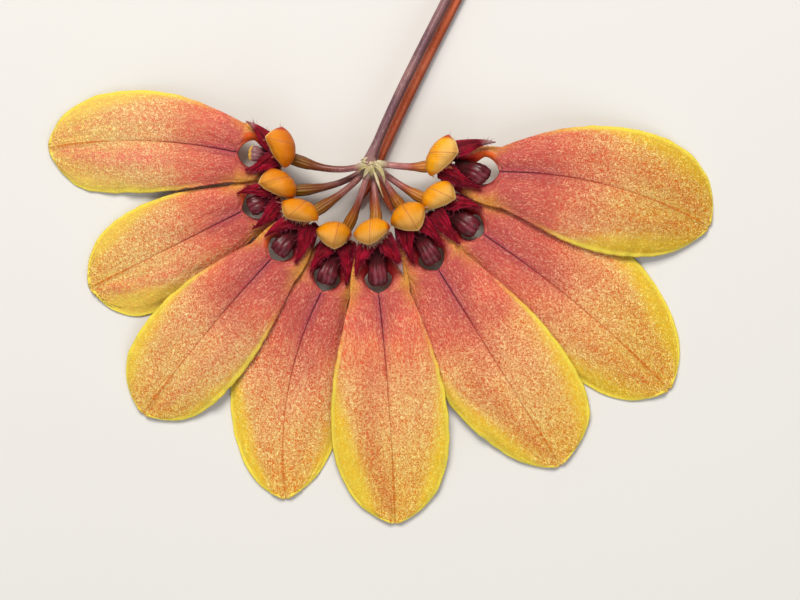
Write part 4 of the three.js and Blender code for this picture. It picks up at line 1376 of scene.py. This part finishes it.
@dataclass
class Petal:
    """One crimson petal, broad over the lip's root and drawn out to a point beside it."""

    flower: Flower
    side: int
    thickness: float = 0.42
    rim: float = 0.14
    length: float = 4.9
    root: float = 1.35
    start: float = 2.0
    rows: int = 44
    columns: int = 16
    cilia: int = 96
    cilium: float = 0.026
    inner: tuple[float, ...] = (1.4, 1.55, 1.25, 0.7, 0.3, 0.05)
    outer: tuple[float, ...] = (0.5, 0.5, 0.42, 0.34, 0.22, 0.05)

    def _measures(self, plan: Sequence[float]) -> tuple[float, ...]:
        """The root's place aside, the length and the root's place outward."""
        usual = (self.root, self.length, self.start)
        return (*plan[2:], *usual[len(plan) - 2:])

    @property
    def smooth(self) -> float:
        """How clean its edges are."""
        return of_side(self.flower.smooth_petals, self.side)

    def surface(self, t: Array, w: Array) -> Array:
        """Points of its middle surface: t from root to tip, w from inner to outer edge."""
        plan = of_side(self.flower.petals, self.side)
        heading, lift = plan[0], plan[1]
        root, length, start = self._measures(plan)
        ragged = 1 - self.smooth
        er, ey = along(heading, length)
        nr, ny = along(heading + 90, self.side)
        ripple = Ripple(self.flower.seed(41 + self.side))
        inner = run(self.inner, t) * (1 + 0.1 * ragged * ripple(t * 5, 0, 0.6))
        outer = run(self.outer, t) * (1 + 0.12 * ragged * ripple(t * 5, 3, 0.6))
        reach = mix(-inner, outer, w)
        arch = np.sin(math.pi * t)
        r = start + er * t
        y = self.side * root + ey * t + 0.2 * self.side * arch
        height = (self.flower.head + 1.2 + lift + 0.2 * arch - 0.3 * t * t
                  + 0.14 * np.sqrt(reach * reach + 0.02) - 0.02
                  + 0.07 * self.side * np.maximum(0, -reach)
                  + 0.08 * ragged * ripple(t * 1.6, reach, 0.62) * np.sin(math.pi * t))
        return np.stack([r + nr * reach, y + ny * reach, height], -1)

    def build(self, finishes: Sequence[bpy.types.Material]) -> bpy.types.Object:
        """Builds and dresses the piece."""
        flower = self.flower
        t = np.linspace(0, 1, self.rows + 1)[:, None]
        w = np.linspace(0, 1, self.columns + 1)[None, :]
        local = self.surface(t, w)
        t, w = t + 0 * w, w + 0 * t
        across = 2 * w - 1
        thick = mix(self.rim, self.thickness, ease(1 - abs(across), 0, 0.5))
        lay = np.stack([t * self.length, across, np.full_like(t, 3.7 * flower.number)], -1)
        sheet = Sheet()
        pale = of_side(flower.pale_petals, self.side)
        sheet.grid(flower.place(local), self.side < 0, along=t, across=across, lay=lay,
                   thick=thick, pale=np.full_like(t, pale))
        skin = Skin()
        sheet.thicken(skin, "thick")
        self.grow_cilia(skin)
        word = of_side(("left", "right"), self.side)
        return settle(skin, f"petal_{word}_{flower.number}", Slot.PETAL, finishes)

    def grow_cilia(self, skin: Skin) -> None:
        """Grows the fringe of its edges and a few hairs on its face."""
        flower = self.flower
        rng = np.random.default_rng(flower.seed(51 + self.side))
        count = int(self.cilia * (1 - 0.8 * self.smooth))
        t = rng.uniform(0.08, 0.98, count)[:, None]
        edge = (rng.uniform(0, 1, count) > 0.45).astype(float)[:, None]
        on_face = rng.uniform(0, 1, (count, 1)) < 0.1
        w = np.where(on_face, rng.uniform(0.15, 0.85, (count, 1)), edge)
        roots = self.surface(t, w)[:, 0]
        ahead = self.surface(np.minimum(1, t + 0.05), w)[:, 0] - roots
        beside = self.surface(t, w + 0.1)[:, 0] - self.surface(t, w - 0.1)[:, 0]
        out = unit(beside) * np.where(edge > 0.5, 1.0, -1.0)
        lift = np.array([0.0, 0.0, 1.0]) * rng.uniform(0.0, 0.9, (count, 1))
        heading = unit(ahead) * 0.8 + out * np.where(on_face, 0.1, 1.0) + lift
        roots[:, 2] += np.where(on_face[:, 0], 0.22, 0.0)
        lengths = rng.uniform(0.25, 0.6, count) * (1 + rng.uniform(0, 1, count) ** 4)
        skin.hairs(flower.place(roots), flower.heading(heading), lengths, self.cilium,
                   flower.seed(61 + self.side))


@dataclass
class Lip:
    """The fleshy hinged tongue, bent over the aperture, with ridges along its back."""

    flower: Flower
    half_width: float = 1.08
    half_depth: float = 0.6
    foot: float = 3.0
    rise: float = 1.9
    ridges: float = 12.0
    widths: tuple[float, ...] = (0.8, 0.85, 1.02, 1.14, 1.1, 0.85)
    depths: tuple[float, ...] = (0.55, 0.95, 1, 0.95, 0.85, 0.5)
    rings: int = 54
    sides: int = 44

    def build(self, finishes: Sequence[bpy.types.Material]) -> bpy.types.Object:
        """Builds and dresses the piece."""
        flower = self.flower
        base = flower.head
        foot, end, bend = self.foot, flower.throat - flower.lip_short, flower.lip_bend
        arc = [(foot, 0, base + 0.1), (mix(foot, end, 0.4), 0, base - 0.1),
               (end - 0.1, 0.6 * bend, base + self.rise), (end, bend, base - 0.3)]
        ripple = Ripple(flower.seed(71))

        def comb(t: Array, a: Array) -> Array:
            return np.cos(np.cos(a) * self.ridges + 1.1 * ripple(t * 3, np.cos(a), 2.4))

        def radius(t: Array, a: Array) -> tuple[Array, Array]:
            width = flower.lip_width * self.half_width * run(self.widths, t)
            deep = self.half_depth * run(self.depths, t)
            cap = np.sqrt(np.maximum(0.02, 1 - np.maximum(0, (t - 0.93) / 0.072) ** 2))
            top = np.maximum(0, np.sin(a))
            ridges = 1 - 0.24 * top**2 * (0.5 + 0.5 * comb(t, a)) * ease(t, 0.2, 0.4)
            rough = 1 + (0.03 + 0.1 * ease(t, 0.7, 1)) * ripple(t * 5, np.cos(a) * 3, 1.0)
            return width * cap * rough, deep * cap * ridges * rough

        def path(t: Array) -> Array:
            return flower.place(bezier(arc, t))

        def looks(t: Array, a: Array) -> dict[str, Array]:
            crest = np.maximum(0, np.sin(a)) ** 2 * (0.5 - 0.5 * comb(t, a))
            return {"ridge": crest, "low": ease(-np.sin(a), -0.2, 0.5), "side": np.cos(a),
                    "pale": np.full_like(a, flower.pale_lip)}

        skin = Skin()
        skin.tube(path, radius, self.rings, self.sides, looks=looks)
        return settle(skin, f"lip_{flower.number}", Slot.LIP, finishes)


@dataclass
class Column:
    """The short column under the hood, with its foot and two small horns."""

    flower: Flower
    radius: float = 0.6
    rise: float = 1.7

    def build(self, finishes: Sequence[bpy.types.Material]) -> bpy.types.Object:
        """Builds and dresses the piece."""
        flower = self.flower
        base = flower.head
        tilt = 0.15 * flower.hood[1]
        rise = [(1.12, 0, base - 0.1), (2.0, 0, base + 0.15), (1.7, 0, base + 1.0),
                (2.1, tilt, base + self.rise)]

        def body_size(t: Array, a: Array) -> tuple[Array, Array]:
            cap = np.sqrt(np.maximum(0.05, 1 - np.maximum(0, (t - 0.88) / 0.125) ** 2))
            size = self.radius * run([0.75, 1, 0.95, 1.05, 0.85], t) * cap + 0 * a
            return size, size

        skin = Skin()
        skin.tube(lambda t: flower.place(bezier(rise, t)), body_size, 26, 24)
        skin.tube(lambda t: flower.place(np.stack([mix(1.8, 3.3, t), 0 * t,
                                                   base + mix(0.25, 0.15, t)], -1)),
                  lambda t, a: (mix(0.5, 0.3, t**2) + 0 * a,) * 2, 10, 18)
        for side in (1, -1):
            def horn(t: Array, side: int = side) -> Array:
                return flower.place(np.stack([2.1 + 0.6 * t, tilt + side * mix(0.2, 0.45, t),
                                              base + self.rise - 0.1 + 0.3 * t * t], -1))
            skin.tube(horn, lambda t, a: (mix(0.26, 0.06, t**1.5) + 0 * a,) * 2, 10, 12,
                      looks=lambda t, a: {"pale": 0.8 + 0 * t})
        return settle(skin, f"column_{flower.number}", Slot.COLUMN, finishes)


@dataclass
class Pedicel:
    """The stalk of one flower, from the hub to the ribbed ovary behind it."""

    flower: Flower
    start: float = 1.28
    ribs: int = 5
    radii: tuple[float, ...] = (0.36, 0.4, 0.42, 0.51, 0.72, 0.7)
    rings: int = 64
    sides: int = 60

    def build(self, finishes: Sequence[bpy.types.Material]) -> bpy.types.Object:
        """Builds and dresses the piece."""
        flower = self.flower
        first_heading, last_heading, height = flower.stalk
        sx, sy = along(first_heading, self.start)
        first = np.array([HUB[0] + sx, HUB[1] + sy, HUB[2] + height])
        last = flower.place(np.array([0.7, 0.0, flower.head]))
        pull = 0.36 * np.linalg.norm((last - first)[:2])
        fx, fy = along(first_heading, pull)
        lx, ly = along(last_heading, -pull)
        curve = [first, first + (fx, fy, 0.15), last + (lx, ly, 0.1), last]
        ripple = Ripple(flower.seed(81))

        def radius(t: Array, a: Array) -> tuple[Array, Array]:
            ovary = ease(t, 0.45, 1.0)
            size = run(self.radii, t)
            crest = np.abs(np.cos(self.ribs * a))
            ribbed = 1 + ovary * (0.16 * crest - 0.1)
            grain = 1 + 0.02 * ripple(t * 14, 0.6 * np.cos(a), 1.8)
            return (size * ribbed * grain,) * 2

        def looks(t: Array, a: Array) -> dict[str, Array]:
            ring = np.abs(a / math.pi - 1) * math.pi * 0.5
            return {"rib": np.abs(np.cos(self.ribs * a)) ** 8,
                    "groove": np.abs(np.sin(self.ribs * a)) ** 3,
                    "ripe": np.full_like(a, flower.ripe), "turn": np.cos(a),
                    LAY: np.stack([t * 8, ring, 0 * a + 2.3 * flower.number], -1)}

        skin = Skin()
        skin.tube(lambda t: bezier(curve, t), radius, self.rings, self.sides, looks=looks)
        return settle(skin, f"pedicel_{flower.number}", Slot.STALK, finishes)


# ---- the stems and bracts -----------------------------------------------------------
def stem_looks(length: float, radius: float, cut: float = 1.0
               ) -> Callable[[Array, Array], dict[str, Array]]:
    """What marks the skin of a stem: lengths along and round it, and its cut end.

    Args:
        length: How long the stem is.
        radius: How thick it is.
        cut: How strongly the end at its start shows as cut.

    Returns:
        The marks from the places and angles of a tube's points.
    """
    def looks(t: Array, a: Array) -> dict[str, Array]:
        ring = np.abs(a / math.pi - 1) * math.pi * radius
        return {LAY: np.stack([t * length, ring, np.sin(a)], -1), "turn": np.cos(a),
                "cut": cut * (t < 0.001)}
    return looks


@dataclass
class Scape:
    """The main flower stem, from its cut end on the surface to the hub.

    The bends move its curve's inner handles aside and give their heights, the second from the
    hub, and neck is where it ends from the hub's middle.
    """

    length: float = 42.0
    lean: float = 65.6
    radius: float = 0.6
    end_radius: float = 0.66
    first_bend: tuple[float, float] = (1.3, 2.2)
    second_bend: tuple[float, float] = (-1.35, -0.2)
    neck: tuple[float, float] = (-0.55, -0.7)
    rings: int = 150
    sides: int = 36

    def build(self, finishes: Sequence[bpy.types.Material]) -> bpy.types.Object:
        """Builds and dresses the piece."""
        ex, ey = along(self.lean, self.length)
        x, y, z = HUB
        curve = [(x + ex, y + ey, self.end_radius),
                 (x + 0.66 * ex + self.first_bend[0], y + 0.66 * ey, self.first_bend[1]),
                 (x + 0.3 * ex + self.second_bend[0], y + 0.3 * ey, z + self.second_bend[1]),
                 (x + self.neck[0], y + self.neck[1], z)]
        ripple = Ripple(90)

        def radius(t: Array, a: Array) -> tuple[Array, Array]:
            flare = ease(t, 0.9, 1.0)
            plain = mix(self.end_radius, self.radius, t)
            past = np.maximum(0, (t - 0.965) / 0.035)
            cap = np.sqrt(np.maximum(0.15, 1 - past**2))
            grain = 1 + 0.012 * ripple(t * 42, np.cos(a), 2.5) - 0.012 * ease(t, 0.0, 0.004)
            grain = grain - 0.05 * ease(0.004 - t, 0, 0.004)
            return (mix(plain, HUB_RADIUS, flare) * cap * grain,
                    mix(plain, HUB_HEIGHT / 2, flare) * cap * grain)

        places = 1 - (1 - np.linspace(0, 1, self.rings + 1)) ** 1.6
        places[1] = 0.002
        skin = Skin()
        skin.tube(lambda t: bezier(curve, t), radius, self.rings, self.sides, places=places,
                  looks=stem_looks(self.length, self.radius))
        return settle(skin, "scape", Slot.SCAPE, finishes)


@dataclass
class RearScape:
    """The second stem close behind, with three spent stalks that end in small ovaries."""

    scape: Scape
    length: float = 43.5
    offset: float = 1.72
    radius: float = 0.62
    end_radius: float = 0.75
    neck: tuple[float, float, float] = (0.5, -0.4, 1.35)
    spent: tuple[tuple[float, float, float], ...] = (
        (-1.7, -4.8, 1.35), (0.1, -6.4, 1.45), (2.6, -5.8, 1.25))
    stalk_radii: tuple[float, ...] = (0.3, 0.4, 0.5, 0.52, 0.46, 0.4, 0.24)

    def build(self, finishes: Sequence[bpy.types.Material]) -> bpy.types.Object:
        """Builds and dresses the piece."""
        x, y, _ = HUB
        ex, ey = along(self.scape.lean, self.length)
        nx, ny = along(self.scape.lean - 90, self.offset)
        end = np.array([x + ex + nx, y + ey + ny])
        neck = np.array([x + self.neck[0], y + self.neck[1]])
        low, high = mix(end, neck, 0.33), mix(end, neck, 0.7)
        curve = [(*end, self.end_radius), (low[0] + 0.3, low[1], 0.7),
                 (high[0] - 0.7, high[1], 0.7), (*neck, self.neck[2])]
        skin = Skin()

        def size(t: Array, a: Array) -> tuple[Array, Array]:
            plain = mix(self.end_radius, self.radius, t * t * (3 - 2 * t))
            return (plain * (1 + 0.015 * Ripple(91)(t * 42, np.cos(a), 3.0)),) * 2

        skin.tube(lambda t: bezier(curve, t), size, 110, 32,
                  looks=stem_looks(self.length, self.radius))
        for sx, sy, z in self.spent:
            path = [(neck[0] + 0.1, neck[1] + 0.35, 1.3), (neck[0] - 0.1, neck[1] - 1.6, 1.5),
                    (x + 0.75 * sx, y + 0.75 * sy, z + 0.1), (x + sx, y + sy, z)]

            def stalk(t: Array, a: Array) -> tuple[Array, Array]:
                full = run(self.stalk_radii, t)
                crest = np.abs(np.cos(2.5 * a)) ** 0.7
                return (full * (1 + ease(t, 0.4, 0.8) * (0.12 * crest - 0.08)),) * 2

            skin.tube(lambda t, path=path: bezier(path, t), stalk, 40, 24,
                      looks=stem_looks(6.0, 0.5, cut=0.0))
        return settle(skin, "rear_scape", Slot.REAR_SCAPE, finishes)


@dataclass
class Bracts:
    """Papery bracts at the hub on a small collar, and the sheaths of the stalks."""

    rows: int = 22
    columns: int = 8
    thickness: float = 0.6
    rim: float = 0.07
    scales: tuple[tuple[float, ...], ...] = (
        (266, 14, 1.7, 0.3, 0.25), (288, 2, 4.5, 0.1, 0.0), (335, -70, 3.2, 0.24, 0.3),
        (238, 6, 2.1, 0.24, 0.15), (208, 0, 1.9, 0.2, 0.1), (352, -20, 1.6, 0.3, 0.15),
        (150, 30, 1.4, 0.42, 0.2))

    def build(self, finishes: Sequence[bpy.types.Material]) -> bpy.types.Object:
        """Builds and dresses the piece."""
        x, y, z = HUB
        top = z + HUB_HEIGHT / 2 + 0.6
        skin = Skin()

        def collar(t: Array, a: Array) -> tuple[Array, Array]:
            wide = 0.72 * np.sin(math.pi * mix(0.1, 0.9, t)) + 0.04 * np.cos(7 * a)
            return wide, 0.3 * np.sin(math.pi * mix(0.1, 0.9, t)) ** 0.5 + 0 * a

        skin.tube(lambda t: np.stack([x - 0.2 + 0.3 * t, y + mix(0.85, -1.0, t), top + 0 * t], -1),
                  collar, 24, 26, looks=lambda t, a: {LAY: np.stack([t, a, 0 * a], -1),
                                                      "collar": np.ones_like(a)})
        for k, scale in enumerate(self.scales):
            self.scale(skin, k, scale, top)
        for flower in FLOWERS:
            self.sheath(skin, flower, top)
        return settle(skin, "floral_bracts", Slot.BRACT, finishes)

    def scale(self, skin: Skin, k: int, scale: Sequence[float], top: float) -> None:
        """Adds one narrow pointed bract.

        Args:
            skin: What it is added to.
            k: Its number.
            scale: Its heading, bend, length, half width and rise.
            top: The height of the collar.
        """
        heading, bend, length, half, rise = scale
        t = np.linspace(0, 1, self.rows + 1)
        dx, dy = along(heading + bend * t, length / self.rows)
        px = HUB[0] + np.concatenate([[0], np.cumsum(dx)[:-1]])
        py = HUB[1] - 0.1 + np.concatenate([[0], np.cumsum(dy)[:-1]])
        across = np.linspace(-1, 1, self.columns + 1)[None, :]
        ripple = Ripple(300 + k)
        width = half * run([0.8, 1, 0.95, 0.6, 0.06], t) * (1 + 0.06 * ripple(t * length, 0, 1.2))
        nx, ny = along(heading + bend * t + 90, 1.0)
        height = top + 0.03 * (k % 3) + rise * np.sin(math.pi * t) - 0.6 * t * t
        fold = (0.3 * (np.abs(across) - 0.6) * run([0, 1, 1, 1], t)[:, None]
                + 0.08 * ripple(t[:, None] * length, across, 1.1))
        grid = np.stack([px[:, None] + nx[:, None] * width[:, None] * across,
                         py[:, None] + ny[:, None] * width[:, None] * across,
                         height[:, None] - 0.12 * t[:, None] * across**2 + fold], -1)
        t2, across = t[:, None] + 0 * across, across + 0 * t[:, None]
        thick = mix(self.rim, self.thickness, ease(1 - np.abs(across), 0, 1.0)
                    * ease(1 - t2, 0, 0.8))
        sheet = Sheet()
        sheet.grid(grid, along=t2, thick=thick,
                   lay=np.stack([t2 * length, across, np.full_like(t2, 5.0 * k)], -1))
        sheet.thicken(skin, "thick")

    def sheath(self, skin: Skin, flower: Flower, top: float) -> None:
        """Adds the pale sleeve that holds the first length of a stalk.

        Args:
            skin: What it is added to.
            flower: Whose stalk it holds.
            top: The height of the collar.
        """
        heading, _, height = flower.stalk
        near, far = (np.array(along(heading, reach)) for reach in (0.45, 2.15))
        z = HUB[2] + height
        first = np.array([*(HUB[:2] + near), min(z + 0.7, top - 0.4)])
        last = np.array([*(HUB[:2] + far), z + 0.02])
        ripple = Ripple(flower.seed(95))

        def radius(t: Array, a: Array) -> tuple[Array, Array]:
            wide = run([0.3, 0.42, 0.44, 0.42, 0.4], t) * (1 + 0.05 * ripple(t * 2, np.cos(a), 0.9))
            return wide, wide * 0.96

        skin.tube(lambda t: mix(first, last, t[:, None]), radius, 14, 20,
                  looks=lambda t, a: {LAY: np.stack([t * 1.7, a, 0 * a + flower.number], -1),
                                      "sheath": np.ones_like(a)})


# ---- the studio ---------------------------------------------------------------------
@dataclass
class Studio:
    """A pale floor, soft light from above the stem's side and a camera looking down."""

    target: tuple[float, float, float] = (2.5, -13.975, 0.0)
    field_width: float = 100.0
    eye_height: float = 292.0
    sensor: float = 36.0
    key_power: float = 3.5
    fill_power: float = 1.15
    room: float = 0.33
    half_floor: float = 900.0
    floor_steps: int = 24
    drop: float = 0.02

    def light(self, name: str, place: Sequence[float], size: float, power: float,
              tint: str = "ffffff") -> None:
        """Adds a square area light aimed at the target; places and size in metres."""
        data = bpy.data.lights.new(name, "AREA")
        data.size = size
        data.energy = power
        data.color = hue(tint)[:3]
        lamp = bpy.data.objects.new(name, data)
        lamp.location = place
        aim = np.array(self.target) * MM - np.array(place)
        flat = math.hypot(aim[0], aim[1])
        lamp.rotation_euler = (math.atan2(flat, -aim[2]), 0.0, math.atan2(aim[1], aim[0]) - math.pi / 2)
        bpy.context.scene.collection.objects.link(lamp)

    def floor(self) -> None:
        """Lays the floor."""
        n = self.floor_steps
        k = np.linspace(-self.half_floor, self.half_floor, n + 1)
        x, y = np.meshgrid(k, k)
        skin = Skin()
        skin.add(np.stack([x, y, np.full_like(x, -self.drop)], -1).reshape(-1, 3),
                 grid_faces(n + 1, n + 1, turned=True))
        skin.build("backdrop", [FloorFinish().wire()])

    def camera(self) -> None:
        """Hangs the camera over the umbel."""
        data = bpy.data.cameras.new("camera")
        data.lens = self.sensor * self.eye_height / self.field_width
        data.sensor_width = self.sensor
        data.clip_start = 0.01
        data.clip_end = 10.0
        eye = bpy.data.objects.new("camera", data)
        x, y, z = self.target
        eye.location = (x * MM, y * MM, (z + self.eye_height) * MM)
        bpy.context.scene.collection.objects.link(eye)
        bpy.context.scene.camera = eye

    def world(self) -> None:
        """Fills the room with even light."""
        world = bpy.data.worlds.new("room")
        world.use_nodes = True
        ground = world.node_tree.nodes["Background"]
        ground.inputs["Color"].default_value = hue("f4f6fa")
        ground.inputs["Strength"].default_value = self.room
        bpy.context.scene.world = world

    def build(self) -> None:
        """Sets the whole studio up."""
        self.floor()
        self.camera()
        self.world()
        self.light("key", (-0.07, 0.32, 0.48), 0.26, self.key_power, "fff8ee")
        self.light("fill", (0.16, -0.42, 0.42), 0.5, self.fill_power, "f2f6ff")
        bpy.context.scene.view_settings.view_transform = "Standard"


def main() -> None:
    """Builds every piece of the umbel and the studio round it."""
    logging.basicConfig(level=logging.INFO, format="%(name)s: %(message)s")
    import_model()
    sepal, hood, petal = SepalFinish().wire(), HoodFinish().wire(), PetalFinish().wire()
    lip, column, stalk = LipFinish().wire(), ColumnFinish().wire(), StalkFinish().wire()
    cream = HairFinish("hood_cilia", "e0a860", "e8d0a8", "c07870").wire()
    bristle = HairFinish("bristles", "a8644c", "d4b494", "dcc4a4").wire()
    cilia = HairFinish("petal_cilia", "5c0a1a", "8c2038", "a84c60").wire()
    scape = Scape()
    scape.build([StemFinish("scape", "8c6464", "684650", "aa8684", "562c26").wire()])
    RearScape(scape).build([StemFinish("rear_scape", "ee7a54", "d26038", "f6a684", "742e0a").wire()])
    Bracts().build([BractFinish().wire()])
    for flower in FLOWERS:
        Pedicel(flower).build([stalk])
        Column(flower).build([column])
        DorsalSepal(flower).build([hood, cream, bristle])
        LateralSepals(flower).build([sepal])
        Petal(flower, 1).build([petal, cilia])
        Petal(flower, -1).build([petal, cilia])
        Lip(flower).build([lip])
    Studio().build()


if __name__ == "__main__":
    main()
